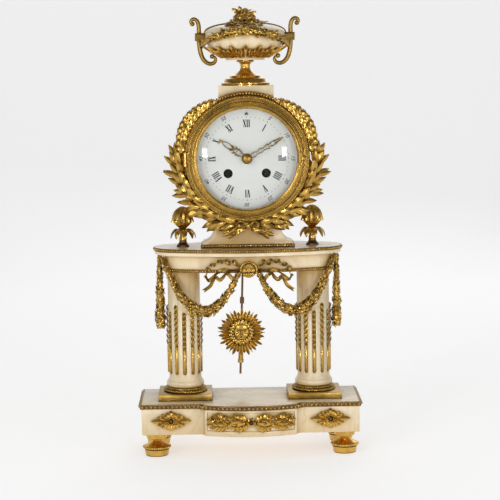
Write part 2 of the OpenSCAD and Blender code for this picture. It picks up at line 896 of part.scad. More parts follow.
module rear_door() {
    y0 = drum_back + rear_ring_d + seat_gap;
    door = rear_open_r + 3;
    color(gilt) {
        difference() {
            union() {
                bar_y(door, y0, y0 + rear_door_t);
                translate([rear_hinge_x + 1.2, y0, dial_z - 0.5 * knuckle + seat_gap])
                    cube([9, rear_door_t - 0.8, knuckle - 2 * seat_gap]);
                translate([rear_hinge_x, rear_hinge_y, dial_z - 0.5 * knuckle + seat_gap])
                    cylinder(r = hinge_r, h = knuckle - 2 * seat_gap, $fn = 32);
            }
            translate([rear_hinge_x, rear_hinge_y, dial_z - knuckle])
                cylinder(r = pin_r + run_gap, h = 2 * knuckle, $fn = 32);
        }
        bar_y(3, y0 + rear_door_t, y0 + rear_door_t + 0.8, door - 6);
    }
}

crest_r = frame_r + 2.4;

module crest_garland() {
    bead = 2.2;
    beads = 25;
    spread = 66;
    mid_y = frame_y + 3;
    color(gilt) {
        for (i = [0 : beads - 1])
            hull()
                for (j = [0, 1])
                    translate([0, mid_y, dial_z])
                        rotate([0, (i + j * 0.6) * spread / beads - spread / 2, 0])
                            translate([0, 0, crest_r])
                                sphere(bead - 0.2 * j, $fn = 8);
        for (side = [-1, 1], i = [0 : 7])
            hull()
                for (j = [i, i + 1])
                    translate([0, mid_y, dial_z])
                        rotate([0, side * (spread / 2 + j * 5.2), 0])
                            translate([0, 0, crest_r + 1.5 + 3 * abs(sin(j * 75))])
                                sphere(3.6, $fn = 8);
    }
}

laurel_steps = 13;

// A laurel stem that climbs round the frame from its foot at the bottom
function stem_point(side, t) =
    let (a = -90 + side * (6 + 98 * t), r = frame_r + 1.2 + 7 * t * t)
    [r * cos(a), drum_y + 1.4, dial_z + r * sin(a)];

module laurel_branches() {
    color(gilt)
        for (side = [-1, 1]) {
            for (i = [0 : laurel_steps - 1])
                hull()
                    for (j = [i, i + 1])
                        translate(stem_point(side, j / laurel_steps))
                            sphere(1.7 - 0.6 * j / laurel_steps, $fn = 8);
            for (i = [1 : laurel_steps], up = [-1, 0, 1]) {
                t = i / laurel_steps;
                way = stem_point(side, t) - stem_point(side, t - 0.02);
                translate(stem_point(side, t))
                    rotate([0, -atan2(way[2], way[0]) + up * 42, 0])
                        translate([-1, 0, 0])
                            leaf(17, 6, up == 0 ? 3 : 2.2);
            }
        }
}

module wreath_bow() {
    knot_z = dial_z - frame_r - 4.2;
    knot_y = frame_y - 3.8;
    color(gilt)
        translate([0, knot_y, knot_z]) {
            sphere(3.2, $fn = 24);
            for (side = [-1, 1]) {
                translate([side * 6.4, 0, 0])
                    rotate([90, 0, 0])
                        rotate_extrude($fn = 32)
                            translate([4, 0])
                                circle(1.1, $fn = 16);
                translate([side * 2, 0, 0])
                    rotate([0, side * 118, 0])
                        translate([0, 0, 1])
                            cylinder(r = 1.4, h = 26, $fn = 16);
            }
        }
}

dial_r = drum_r - 2;
dial_hole = 4.8;
wind_hole = 5;

module dial() {
    feet_r = 44;
    color([0.95, 0.94, 0.9]) {
        difference() {
            bar_y(dial_r, dial_front, dial_back);
            bar_y(dial_hole, dial_front - 1, dial_back + 1);
            for (s = [-1, 1])
                bar_y(wind_hole, dial_front - 1, dial_back + 1, s * wind_x, dial_z - wind_drop);
        }
        for (a = [30, 150, 270])
            bar_y(1.2, dial_back, plate_front, feet_r * cos(a), dial_z + feet_r * sin(a));
    }
}

// Teeth of the wheels and pinions
barrel_teeth = 84;
inter_leaves = 14;
inter_teeth = 80;
centre_leaves = 10;
centre_teeth = 78;
third_leaves = 7;
third_teeth = 77;
escape_leaves = 7;
escape_teeth = 30;
cannon_leaves = 12;
minute_teeth = 36;
minute_leaves = 10;
hour_teeth = 40;

// Places of the arbors from the dial centre
barrel_at = [wind_x, -wind_drop];
strike_at = [-wind_x, -wind_drop];
inter_at = [21, 7];
third_angle = 120;
third_at = 16.9 * [cos(third_angle), sin(third_angle)];
escape_span = 12.33;
escape_at = [0, third_at[1] + sqrt(escape_span * escape_span - third_at[0] * third_at[0])];
anchor_at = [0, hang_rise];
minute_span = 14;
minute_at = minute_span * [cos(60), sin(60)];
hammer_at = [-30, -12];
bell_at = [14, 4];

function way_angle(a, b) = atan2(b[1] - a[1], b[0] - a[0]);
// Pitch radius of a wheel of n teeth that meshes with one of m teeth at a distance
function pitch_r(n, m, distance) = distance * n / (n + m);
// Angle of a follower's first tooth, in mesh with a driver whose first tooth stands at phase
function mesh_phase(n, phase, m, way) = way + 180 - 180 / m - (phase - way) * n / m;

barrel_span = norm(inter_at - barrel_at);
inter_span = norm(inter_at);
centre_span = norm(third_at);
centre_phase = 0;
third_phase = mesh_phase(centre_teeth, centre_phase, third_leaves, third_angle);
escape_phase = mesh_phase(third_teeth, third_phase, escape_leaves, way_angle(third_at, escape_at));
inter_phase = mesh_phase(centre_leaves, centre_phase, inter_teeth, way_angle([0, 0], inter_at));
barrel_phase = mesh_phase(inter_leaves, inter_phase, barrel_teeth, way_angle(inter_at, barrel_at));
minute_phase = mesh_phase(cannon_leaves, 0, minute_teeth, 60);
hour_phase = mesh_phase(minute_leaves, minute_phase, hour_teeth, 240);

// A toothed outline: slim teeth, so that a pair runs free
module teeth(n, r, phase) {
    module_size = 2 * r / n;
    tip = r + 0.6 * module_size;
    root = r - 0.95 * module_size;
    pitch = 360 / n;
    polygon([for (i = [0 : n - 1]) for (p = [[root, -0.25], [tip, -0.1], [tip, 0.1], [root, 0.25]])
        let (a = phase + (i + p[1] * 0.8) * pitch)
        p[0] * [cos(a), sin(a)]]);
}

// A wheel with spoke openings, from y0 to y1, at a place from the dial centre
module wheel(n, r, phase, y0, y1, at) {
    flat_y(y0, y1, at[0], dial_z + at[1])
        difference() {
            teeth(n, r, phase);
            for (a = [45 : 90 : 315])
                rotate(a)
                    translate([r * 0.54, 0])
                        circle(r * 0.26);
        }
}

module pinion(n, r, phase, y0, y1, at) {
    flat_y(y0, y1, at[0], dial_z + at[1])
        teeth(n, r, phase);
}

// An arbor between the plates, turned down to thin_r from y0 to y1
module arbor(at, y0, y1, thin_r) {
    bar_y(arbor_r, plate_front + 0.1, y0, at[0], dial_z + at[1]);
    bar_y(thin_r, y0 - 0.5, y1 + 0.5, at[0], dial_z + at[1]);
    bar_y(arbor_r, y1, plate_back + plate_t - 0.1, at[0], dial_z + at[1]);
}

// Bores of the plates for the arbors that both carry
module arbor_bores(y) {
    for (at = [[0, 0], inter_at, third_at, escape_at, anchor_at])
        bar_y(arbor_r + run_gap, y - 1, y + plate_t + 1, at[0], dial_z + at[1]);
}

square_r = 2.6;

module front_plate() {
    color(brass) {
        difference() {
            bar_y(plate_r, plate_front, plate_front + plate_t);
            arbor_bores(plate_front);
            for (at = [barrel_at, strike_at])
                bar_y(square_r + run_gap, plate_front - 1, inside_y + 1, at[0], dial_z + at[1]);
        }
        bar_y(arbor_r, drum_y + 0.6, plate_front, minute_at[0], dial_z + minute_at[1]);
    }
}

hammer_end = plate_back + plate_t + 19.5;

module back_plate() {
    color(brass) {
        difference() {
            bar_y(plate_r, plate_back, plate_back + plate_t);
            arbor_bores(plate_back);
            for (at = [barrel_at, strike_at])
                bar_y(arbor_r + run_gap, plate_back - 1, plate_back + plate_t + 1,
                    at[0], dial_z + at[1]);
        }
        bar_y(arbor_r, plate_back + plate_t, hammer_end, hammer_at[0], dial_z + hammer_at[1]);
    }
}

module plate_pillars() {
    pillar_r = 3;
    pillar_edge = 4;
    pillar_low = 5;
    pillar_rise = 6;
    far = plate_r - pillar_edge;
    color(brass)
        for (at = [[0, pillar_low - plate_r], [-far, pillar_rise], [far, pillar_rise], [0, far]])
            bar_y(pillar_r, inside_y, plate_back, at[0], dial_z + at[1]);
}

cock_y = plate_back + plate_t + 6;
cock_t = 2;

module back_cock() {
    half = 14;
    back = plate_back + plate_t;
    hang = [0, dial_z + hang_rise];
    color(brass) {
        difference() {
            translate([-half, cock_y, hang[1] - 4])
                cube([2 * half, cock_t, 8]);
            bar_y(arbor_r + run_gap, cock_y - 1, cock_y + cock_t - 0.6, 0, hang[1]);
        }
        for (s = [-1, 1])
            translate([s * (half - 2) - 2, back, hang[1] - 4])
                cube([4, cock_y - back, 8]);
        bar_y(pin_r + 0.2, cock_y + cock_t, cock_y + cock_t + 5.5, 0, hang[1]);
        bar_y(2.2, cock_y + cock_t + 4.3, cock_y + cock_t + 5.5, 0, hang[1]);
    }
}

bell_r = 27;
bell_wall = 1.2;
bell_y = pend_y + 5;
bell_d = 10.5;
post_r = 2;

module bell() {
    steps = 8;
    function shell(i, r, d) = [r * cos(90 * i / steps), bell_y + d * sin(90 * i / steps)];
    color(brass)
        turned_y(concat([for (i = [0 : steps - 1]) shell(i, bell_r, bell_d)],
            [[post_r + fit_gap, bell_y + bell_d], [post_r + fit_gap, bell_y + bell_d - bell_wall]],
            [for (i = [steps - 2 : -1 : 0]) shell(i, bell_r - bell_wall, bell_d - bell_wall)]),
            bell_at[0], dial_z + bell_at[1]);
}

module bell_stand() {
    color(steel) {
        bar_y(post_r, plate_back + plate_t, bell_y + bell_d + 2, bell_at[0], dial_z + bell_at[1]);
        bar_y(4, bell_y + bell_d - bell_wall - 2, bell_y + bell_d - bell_wall - 0.3,
            bell_at[0], dial_z + bell_at[1]);
        bar_y(4, bell_y + bell_d + seat_gap, bell_y + bell_d + 2, bell_at[0], dial_z + bell_at[1]);
    }
}

module urn_pedestal() {
    color(marble)
        difference() {
            translate([-pedestal_half, col_y - pedestal_d / 2, dial_z + drum_r * 0.8])
                cube([2 * pedestal_half, pedestal_d, pedestal_top - dial_z - drum_r * 0.8]);
            bar_y(drum_r + seat_gap, -drum_len, drum_len);
            translate([0, col_y, dial_z])
                cylinder(r = urn_rod_r + fit_gap, h = pedestal_top);
            translate([0, col_y, dial_z])
                cylinder(r = urn_nut_r + 1, h = drum_r + 5 + urn_nut_h);
        }
}

module urn_foot() {
    h = urn_foot_h;
    bore = urn_rod_r + fit_gap;
    color(gilt)
        translate([0, col_y, pedestal_top])
            rotate_extrude()
                polygon([[bore, 0], [26, 0], [26, h * 0.1], [24, h * 0.13], [22.6, h * 0.22],
                    [22, h * 0.27], [18, h * 0.3], [16.6, h * 0.38], [15, h * 0.4], [10, h * 0.48],
                    [6.6, h * 0.58], [5.2, h * 0.7], [5.6, h * 0.84], [7.4, h * 0.9],
                    [9, h * 0.93], [9, h], [bore, h]]);
}

disc_h = 4;
cup_t = 1;
// Radius of the bowl at a share of its height over the disc
function bowl_at(s) = lerp(24, urn_r, sin(90 * min(1, s / 0.72)));
function bowl_z_at(s) = bowl_z + disc_h + (urn_bowl_h - disc_h) * s;

module urn_bowl() {
    bore = urn_rod_r + fit_gap;
    color(marble)
        translate([0, col_y, 0])
            rotate_extrude()
                polygon(concat([[bore, bowl_z], [21.4, bowl_z], [21.4, bowl_z + disc_h]],
                    [for (s = [0 : 0.09 : 0.72]) [bowl_at(s), bowl_z_at(s)]],
                    [[urn_r, rim_z], [bore, rim_z]]));
}

module urn_lid() {
    bore = urn_rod_r + fit_gap;
    color(marble)
        translate([0, col_y, rim_z])
            rotate_extrude()
                polygon(concat([[bore, 0]],
                    [for (a = [0 : 10 : 80]) [(urn_r - bore) * cos(a) + bore, urn_lid_h * sin(a)]],
                    [[bore, urn_lid_h]]));
}

module urn_acanthus() {
    leaves = 16;
    top = 0.4;
    color(gilt)
        translate([0, col_y, 0])
            difference() {
                rotate_extrude()
                    polygon(concat(
                        [for (s = [0 : 0.1 : top]) [bowl_at(s) + 2 * seat_gap, bowl_z_at(s)]],
                        [for (s = [top : -0.1 : 0]) [bowl_at(s) + 2 * seat_gap + cup_t + 2 * s,
                            bowl_z_at(s) - 0.2]]));
                for (i = [0 : leaves - 1])
                    rotate([0, 0, 360 * (i + 0.5) / leaves])
                        translate([20, 0, bowl_z_at(top)])
                            rotate([45, 0, 0])
                                cube([40, 6, 6], center = false);
            }
}

// A scroll handle in the XZ plane, as places from the urn's axis and its rim
handle_way = [[36, -25.5], [33, -27], [32.3, -29.8], [34.2, -32.6], [38.5, -33.6], [43, -31.6],
    [46.6, -27], [48.8, -20], [49.8, -12], [50, -4], [50, 2], [50.2, 8], [51.6, 12.6], [54.6, 15],
    [57.6, 14.2], [58.8, 11.6], [57, 9.8]];

module urn_handles() {
    path = [for (p = handle_way) [p[0] + urn_r - 43.5, col_y, rim_z + p[1]]];
    radii = [for (i = [0 : len(handle_way) - 1]) 1.6 + 0.9 * sin(180 * i / (len(handle_way) - 1))];
    block = 8;
    wide = urn_r - urn_rod_r - fit_gap;
    function strap_at(a, off) = [wide * cos(a) + urn_r - wide, urn_lid_h * sin(a)]
        + off * unit([urn_lid_h * cos(a), wide * sin(a)]);
    color(gilt)
        for (s = [0, 1])
            mirror([s, 0, 0]) {
                tube(path, radii, 8, [0, 1, 0]);
                translate([0, col_y + 1.2, rim_z])
                    rotate([90, 0, 0])
                        linear_extrude(2.4)
                            polygon(concat([[urn_r + 0.25, -2]],
                                [for (a = [0 : 10 : 70]) strap_at(a, 0.25)],
                                [for (a = [70 : -10 : 0]) strap_at(a, 1.5)],
                                [[urn_r + 1.5, -2]]));
                translate([urn_r + seat_gap, col_y - block / 2, rim_z - block - 0.5])
                    cube([10.5, block, block]);
            }
}

module urn_garland() {
    count = 36;
    function thick(i) = let (t = abs(2 * i / count - 1)) lerp(4, 2.4, t) + (i % 2 == 0 ? 0.4 : -0.4);
    path = [for (i = [0 : count])
        let (t = 2 * i / count - 1, a = -90 + 82 * t, r = urn_r + 0.3 + lerp(4.4, 2.8, abs(t)))
        [r * cos(a), col_y + r * sin(a), rim_z + 1 - 15 * pow(abs(t), 1.4)]];
    color(gilt)
        tube(path, [for (i = [0 : count]) thick(i)], 8, [0, 0, 1]);
}

module urn_bouquet() {
    blooms = 6;
    z0 = lid_top + 0.3;
    color(gilt)
        translate([0, col_y, 0]) {
            for (i = [0 : blooms - 1])
                rotate([0, 0, 360 * i / blooms])
                    hull() {
                        translate([8, 0, z0 + 5])
                            sphere(5, $fn = 8);
                        translate([4, 0, z0 + bouquet_h * 0.5])
                            sphere(4, $fn = 8);
                    }
            hull() {
                translate([0, 0, z0 + 6])
                    sphere(6, $fn = 10);
                translate([1, 0, z0 + bouquet_h - 4.6])
                    sphere(4.4, $fn = 10);
            }
            for (a = [20, 75, 200])
                translate([-2, 0, z0 + bouquet_h * 0.5])
                    rotate([0, 0, a])
                        rotate([0, -32, 0])
                            leaf(13, 6, 2.4);
        }
}

hand_t = 0.8;
hour_y = dial_front - 2.6;
minute_y = hour_y - 1.8;
pipe_r = 4;
cannon_r = 2.4;

// A round of a hand at a height h over its axis
module hand_round(r, h, grow = 0) {
    translate([0, h, -grow])
        cylinder(r = r, h = hand_t + 2 * grow);
}

// A pierced hand on a face at y, turned clockwise: a boss, a stem, two loops and a spear
module hand(length, hole, y, turn) {
    low = length * 0.44;
    high = length * 0.66;
    translate([0, y, dial_z])
        rotate([90, turn, 0])
            difference() {
                union() {
                    hand_round(hole + 1.6, 0);
                    hand_round(2.6, low);
                    hand_round(3.1, high);
                    linear_extrude(hand_t)
                        polygon([[-1, hole + 0.8], [-1, high + 4.2], [-2.6, high + 5.6],
                            [0, length], [2.6, high + 5.6], [1, high + 4.2], [1, hole + 0.8]]);
                }
                hand_round(hole, 0, 1);
                hand_round(1.4, low, 1);
                hand_round(1.8, high, 1);
            }
}

hour_turn = (shown_hours + shown_minutes / 60) * 30;
minute_turn = shown_minutes * 6;

module hour_hand() {
    color(gilt)
        hand(hour_len, pipe_r + 0.02, hour_y, hour_turn);
}

hour_wheel_y = drum_y + 1.2;

module hour_wheel() {
    r = pitch_r(hour_teeth, minute_leaves, minute_span);
    color(brass)
        difference() {
            union() {
                wheel(hour_teeth, r, hour_phase, hour_wheel_y, hour_wheel_y + 1, [0, 0]);
                bar_y(pipe_r, hour_y - hand_t, hour_wheel_y + 1);
            }
            bar_y(cannon_r + run_gap, hour_y - 2, hour_wheel_y + 2);
        }
}

module minute_hand() {
    boss_r = 5.8;
    color(gilt) {
        hand(minute_len, cannon_r + 0.02, minute_y, minute_turn);
        turned_y([[0, minute_y - 3.6], [3, minute_y - 3.3], [boss_r, minute_y - 1.2],
            [boss_r, minute_y - hand_t], [0, minute_y - hand_t]]);
    }
}

cannon_y = plate_front - 2.4;
centre_wheel_y = inside_y + 24;
inter_wheel_y = inside_y + 19;
great_y = inside_y + 14;
third_wheel_y = inside_y + 14;
escape_y = inside_y + 6;

module centre_arbor() {
    color(brass) {
        bar_y(cannon_r, minute_y - hand_t, cannon_y + 2);
        pinion(cannon_leaves, pitch_r(cannon_leaves, minute_teeth, minute_span), 0,
            cannon_y, cannon_y + 2, [0, 0]);
        bar_y(arbor_r, cannon_y, plate_back + plate_t - 0.1);
        pinion(centre_leaves, pitch_r(centre_leaves, inter_teeth, inter_span), centre_phase,
            inter_wheel_y - 0.5, inter_wheel_y + 2, [0, 0]);
        wheel(centre_teeth, pitch_r(centre_teeth, third_leaves, centre_span), centre_phase,
            centre_wheel_y, centre_wheel_y + 1.5, [0, 0]);
    }
}

module minute_wheel() {
    r = pitch_r(minute_teeth, cannon_leaves, minute_span);
    leaf_r = pitch_r(minute_leaves, hour_teeth, minute_span);
    color(brass)
        difference() {
            union() {
                wheel(minute_teeth, r, minute_phase, cannon_y + 0.3, cannon_y + 1.7, minute_at);
                pinion(minute_leaves, leaf_r, minute_phase, hour_wheel_y, cannon_y + 1, minute_at);
            }
            bar_y(arbor_r + run_gap, hour_wheel_y - 1, plate_front,
                minute_at[0], dial_z + minute_at[1]);
        }
}

// A mainspring barrel with its great wheel, arbor and winding square
module barrel(at, r, drum, phase) {
    square = 3.4;
    drum_d = 12;
    color(brass) {
        bar_y(drum, great_y - drum_d, great_y, at[0], dial_z + at[1]);
        pinion(barrel_teeth, r, phase, great_y, great_y + 2, at);
        bar_y(square_r, plate_front, great_y, at[0], dial_z + at[1]);
        bar_y(arbor_r, great_y, plate_back + plate_t - 0.1, at[0], dial_z + at[1]);
        translate([at[0] - square / 2, dial_back, dial_z + at[1] - square / 2])
            cube([square, plate_front - dial_back, square]);
    }
}

module going_barrel() {
    going_drum_r = 17.5;
    barrel(barrel_at, pitch_r(barrel_teeth, inter_leaves, barrel_span), going_drum_r, barrel_phase);
}

module strike_barrel() {
    strike_wheel_r = 18;
    strike_drum_r = 16;
    barrel(strike_at, strike_wheel_r, strike_drum_r, 0);
}

module intermediate_wheel() {
    color(brass) {
        arbor(inter_at, great_y - 1, great_y + 3, arbor_r - 0.2);
        pinion(inter_leaves, pitch_r(inter_leaves, barrel_teeth, barrel_span), inter_phase,
            great_y - 0.5, great_y + 2.5, inter_at);
        wheel(inter_teeth, pitch_r(inter_teeth, centre_leaves, inter_span), inter_phase,
            inter_wheel_y, inter_wheel_y + 1.5, inter_at);
    }
}

module third_wheel() {
    color(brass) {
        arbor(third_at, centre_wheel_y - 1, centre_wheel_y + 2.5, arbor_r - 0.4);
        pinion(third_leaves, pitch_r(third_leaves, centre_teeth, centre_span), third_phase,
            centre_wheel_y - 0.5, centre_wheel_y + 2, third_at);
        wheel(third_teeth, pitch_r(third_teeth, escape_leaves, escape_span), third_phase,
            third_wheel_y, third_wheel_y + 1.2, third_at);
    }
}

escape_r = 7.5;

module escape_wheel() {
    color(brass) {
        arbor(escape_at, third_wheel_y - 1, third_wheel_y + 2.2, arbor_r / 2);
        pinion(escape_leaves, pitch_r(escape_leaves, third_teeth, escape_span), escape_phase,
            third_wheel_y - 0.5, third_wheel_y + 1.7, escape_at);
        flat_y(escape_y, escape_y + 1, escape_at[0], dial_z + escape_at[1])
            polygon([for (i = [0 : escape_teeth - 1]) for (p = [[0.84, 0], [1, 0.1], [0.98, 0.3],
                [0.84, 0.75]])
                let (a = (i + p[1]) * 360 / escape_teeth)
                escape_r * p[0] * [cos(a), sin(a)]]);
    }
}

// Turns a piece about the suspension by the angle that the pendulum hangs at
module hung() {
    translate([0, 0, dial_z + hang_rise])
        rotate([0, pend_angle, 0])
            translate([0, 0, -dial_z - hang_rise])
                children();
}

fork_z = 4;

module anchor() {
    reach = hang_rise - escape_at[1];
    pallet_x = 6.8;
    pallet_z = -reach + 5.8;
    back = plate_back + plate_t;
    color(steel)
        hung() {
            bar_y(arbor_r, plate_front + 0.1, cock_y + cock_t - 0.8, 0, dial_z + hang_rise);
            flat_y(escape_y - 0.5, escape_y + 1.5, 0, dial_z + hang_rise) {
                circle(2.4, $fn = 32);
                for (s = [-1, 1])
                    polygon([[0, 2], [s * 2, 0.4], [s * (pallet_x + 1), pallet_z + 2.6],
                        [s * (pallet_x + 1), pallet_z], [s * pallet_x, pallet_z],
                        [s * (pallet_x - 0.6), pallet_z + 2.4], [0, -2]]);
            }
            bar_y(2.4, back + 1, back + 4.6, 0, dial_z + hang_rise);
            translate([-0.9, back + 3, dial_z + fork_z])
                cube([1.8, 1.5, hang_rise - fork_z]);
            difference() {
                translate([-2.9, back + 3, dial_z + fork_z - 2])
                    cube([5.8, pend_y + 2 - back - 3, 4]);
                translate([-pend_rod_r - 0.25, back + 6.5, dial_z + fork_z - 3])
                    cube([2 * pend_rod_r + 0.5, pend_y, 6]);
            }
        }
}

bob_drop = hang_rise - pend_len;

module pendulum_rod() {
    eye_r = 2.8;
    top = dial_z + hang_rise;
    hook_z = dial_z + bob_drop + bob_r + 5;
    color(steel)
        hung() {
            difference() {
                union() {
                    bar_y(eye_r, pend_y - 1.1, pend_y + 1.1, 0, top);
                    translate([0, pend_y, dial_z + bob_drop - rod_tail])
                        cylinder(r = pend_rod_r, h = pend_len + rod_tail - 2);
                    translate([-2.4, pend_y - 2, hook_z])
                        cube([4.8, 4, 7]);
                }
                bar_y(pin_r + 0.2 + run_gap, pend_y - 2, pend_y + 2, 0, top);
            }
        }
}

sleeve_r = 2.8;
sleeve_end = bob_r + 4.5;

module pendulum_bob() {
    rays = 24;
    middle = dial_z + bob_drop;
    plate = pend_y - sleeve_r - 0.4;
    color(gilt)
        hung()
            difference() {
                union() {
                    flat_y(plate - 2.4, plate, 0, middle)
                        polygon([for (i = [0 : 2 * rays - 1])
                            let (long = i % 4 == 0 ? 1 : 0.86, a = 180 * i / rays)
                            (i % 2 == 0 ? bob_r * long : bob_r * 0.64) * [sin(a), cos(a)]]);
                    turned_y([[0, plate - 7.4], [4, plate - 7], [8, plate - 5.6],
                        [10.6, plate - 3.6], [11.4, plate - 2], [0, plate - 2]], 0, middle);
                    bar_y(9, plate - 1, pend_y + 0.8, 0, middle);
                    translate([0, pend_y, middle - sleeve_end])
                        cylinder(r = sleeve_r, h = sleeve_end + 12);
                }
                translate([0, pend_y, middle - 2 * bob_r])
                    cylinder(r = pend_rod_r + run_gap, h = 4 * bob_r);
            }
}

nut_h = 3.6;

module rating_nut() {
    color(gilt)
        hung()
            translate([0, pend_y, dial_z + bob_drop - sleeve_end - nut_h - seat_gap])
                difference() {
                    cylinder(r = 3.4, h = nut_h);
                    translate([0, 0, -1])
                        cylinder(r = pend_rod_r + run_gap, h = nut_h + 2);
                }
}

module hammer() {
    y0 = hammer_end - 4;
    head = [-17.5, 4];
    color(steel)
        difference() {
            union() {
                bar_y(3, y0, hammer_end - seat_gap, hammer_at[0], dial_z + hammer_at[1]);
                flat_y(y0 + 1, y0 + 2.6, hammer_at[0], dial_z + hammer_at[1])
                    rotate(way_angle(hammer_at, head))
                        translate([0, -1])
                            square([norm(head - hammer_at), 2]);
                translate([head[0] - 3, y0, dial_z + head[1] - 2.4])
                    cube([6, 3.6, 4.8]);
            }
            bar_y(arbor_r + run_gap, y0 - 1, hammer_end + 1, hammer_at[0], dial_z + hammer_at[1]);
        }
}

base_block();
base_bead_moulding();
base_panel_mount();
base_rosettes();
mount_pins();
toupie_feet();
column_left();
column_right();
column_plinths();
flute_inserts();
tie_rods();
entablature();
entablature_bead_ring();
rope_mouldings();
swags();
frieze_rosette();
frieze_ribbons();
finials();
finial_feet();
drum_support();
drum_case();
bezel_frame();
crest_garland();
laurel_branches();
wreath_bow();
dial();
front_plate();
back_plate();
plate_pillars();
back_cock();
bell();
bell_stand();
rear_ring();
hinge_pins();
urn_pedestal();
urn_foot();
urn_bowl();
urn_lid();
urn_acanthus();
urn_handles();
urn_garland();
urn_bouquet();
bezel_door();
bezel_glass();
rear_door();
hour_hand();
hour_wheel();
minute_hand();
centre_arbor();
minute_wheel();
going_barrel();
intermediate_wheel();
third_wheel();
escape_wheel();
anchor();
pendulum_rod();
pendulum_bob();
rating_nut();
strike_barrel();
hammer();
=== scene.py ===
import math
import random

import bmesh
import bpy
from mathutils import Matrix, Vector


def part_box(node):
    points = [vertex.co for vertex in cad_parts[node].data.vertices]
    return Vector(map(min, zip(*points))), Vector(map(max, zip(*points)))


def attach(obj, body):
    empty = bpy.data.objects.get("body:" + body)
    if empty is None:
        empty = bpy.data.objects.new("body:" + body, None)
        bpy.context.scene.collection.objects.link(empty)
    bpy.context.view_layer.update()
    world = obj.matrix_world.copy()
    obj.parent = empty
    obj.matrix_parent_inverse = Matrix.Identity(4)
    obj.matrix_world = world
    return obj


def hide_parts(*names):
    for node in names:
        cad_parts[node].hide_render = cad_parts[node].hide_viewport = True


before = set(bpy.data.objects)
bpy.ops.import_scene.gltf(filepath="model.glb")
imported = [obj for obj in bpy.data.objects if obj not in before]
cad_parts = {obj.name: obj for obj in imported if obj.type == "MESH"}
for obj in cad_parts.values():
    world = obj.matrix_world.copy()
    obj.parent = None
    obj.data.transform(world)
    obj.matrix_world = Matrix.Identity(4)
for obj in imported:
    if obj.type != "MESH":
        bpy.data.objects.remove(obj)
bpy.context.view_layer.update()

bl_info = {
    "name": "Portico Clock",
    "version": (1, 0, 0),
    "blender": (4, 5, 0),
    "location": "View3D > Sidebar > Clock",
    "description": "Models the visible surfaces of a marble and gilt bronze portico clock",
    "category": "Add Mesh",
}


def middle(node, axis):
    """Middle of a CAD node's box on an axis"""
    low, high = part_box(node)
    return (low[axis] + high[axis]) / 2


DIAL_Z = middle("dial", 2)
COLUMN_X, COLUMN_Y = middle("column_right", 0), middle("finial_feet", 1)
BASE_HALF, BASE_BACK, BASE_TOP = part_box("base_block")[1]
WING_Y, BOW_HALF, BOW_COVE, BOW_R = BASE_BACK - 0.092, 0.050, 0.008, 0.130
BOW_CENTRE = WING_Y - 0.018 + BOW_R
MIDDLE_Z = 0.041
FRIEZE, SLAB = (0.0927, 0.038), (0.1027, 0.046)
UP, FRONT, BACK, RIGHT = Vector((0, 0, 1)), Vector((0, -1, 0)), Vector((0, 1, 0)), Vector((1, 0, 0))
SIDES = (-1, 1)
# The lit gilt is the same gilding made lighter, as painted light
GILT, LIT_GILT, BROWN, DARK_BRONZE_AND_SHADE = "gilt_bronze", "gilt_with_painted_light", "brown_gilt", "dark_bronze"
FINISH = {}
UNITS = []


def a_length(name, text, default):
    return bpy.props.FloatProperty(name=name, description=text, default=default, unit="LENGTH")


def a_colour(name, text, default):
    return bpy.props.FloatVectorProperty(name=name, description=text, default=default,
                                         subtype="COLOR", size=3)


class ClockSizes(bpy.types.PropertyGroup):
    """Sizes of the modelled detail"""

    edge: a_length("Edge softening", "Width of the rounded stone and metal edges", 0.0004)
    bead: a_length("Base bead", "Radius of a bead on the base moulding", 0.0021)
    leaf: a_length("Laurel leaf", "Length of a leaf in the wreath", 0.0205)
    stroke: a_length("Numeral height", "Height of the hour numerals", 0.0080)


class ClockColours(bpy.types.PropertyGroup):
    """Colours of the finishes"""

    marble: a_colour("Marble", "Cream of the marble", (0.755, 0.640, 0.435))
    vein: a_colour("Vein", "Colour of the marble veins", (0.56, 0.38, 0.17))
    gold: a_colour("Gilding", "Colour of the gilt bronze", (0.50, 0.305, 0.070))
    patina: a_colour("Patina", "Colour of the dirt in the recesses", (0.050, 0.025, 0.007))
    floor: a_colour("Floor", "Colour of the studio floor", (0.60, 0.60, 0.60))


def sizes():
    return bpy.context.scene.clock_sizes


def colours():
    return bpy.context.scene.clock_colours


def put(thing, **values):
    """Sets a thing's values"""
    for key, value in values.items():
        setattr(thing, key, value)
    return thing


def rest():
    """Leaves edit mode and deselects everything"""
    if bpy.context.object and bpy.context.object.mode != "OBJECT":
        bpy.ops.object.mode_set(mode="OBJECT")
    bpy.ops.object.select_all(action="DESELECT")


def use(obj):
    """Makes an object the only selected and active one"""
    rest()
    obj.select_set(True)
    bpy.context.view_layer.objects.active = obj
    return obj


def edit(obj, kind="VERT"):
    """Opens an object with all its vertices or faces selected"""
    use(obj)
    bpy.ops.object.mode_set(mode="EDIT")
    bpy.ops.mesh.select_mode(type=kind)
    bpy.ops.mesh.select_all(action="SELECT")
    return obj


def pick(test):
    """Selects the edited mesh's vertices that pass the test"""
    mesh = bpy.context.edit_object.data
    shape = bmesh.from_edit_mesh(mesh)
    for vert in shape.verts:
        vert.select = bool(test(vert))
    shape.select_flush_mode()
    bmesh.update_edit_mesh(mesh)


def shift(value):
    bpy.ops.transform.translate(value=value)


def resize(value):
    bpy.ops.transform.resize(value=value)


def extrude(value):
    bpy.ops.mesh.extrude_region_move(TRANSFORM_OT_translate={"value": value})


def modify(obj, kind, **values):
    """Adds a modifier with these values and applies it"""
    use(obj)
    modifier = put(obj.modifiers.new(kind.title(), kind), **values)
    bpy.ops.object.modifier_apply(modifier=modifier.name)
    return obj


def started(operator, **values):
    """A primitive to be worked on, made by its operator"""
    rest()
    operator(**values)
    return bpy.context.active_object


def linked(obj):
    bpy.context.collection.objects.link(obj)
    return obj


def twin(source):
    """A copy of an object with its own mesh"""
    obj = linked(source.copy())
    obj.data = source.data.copy()
    return obj


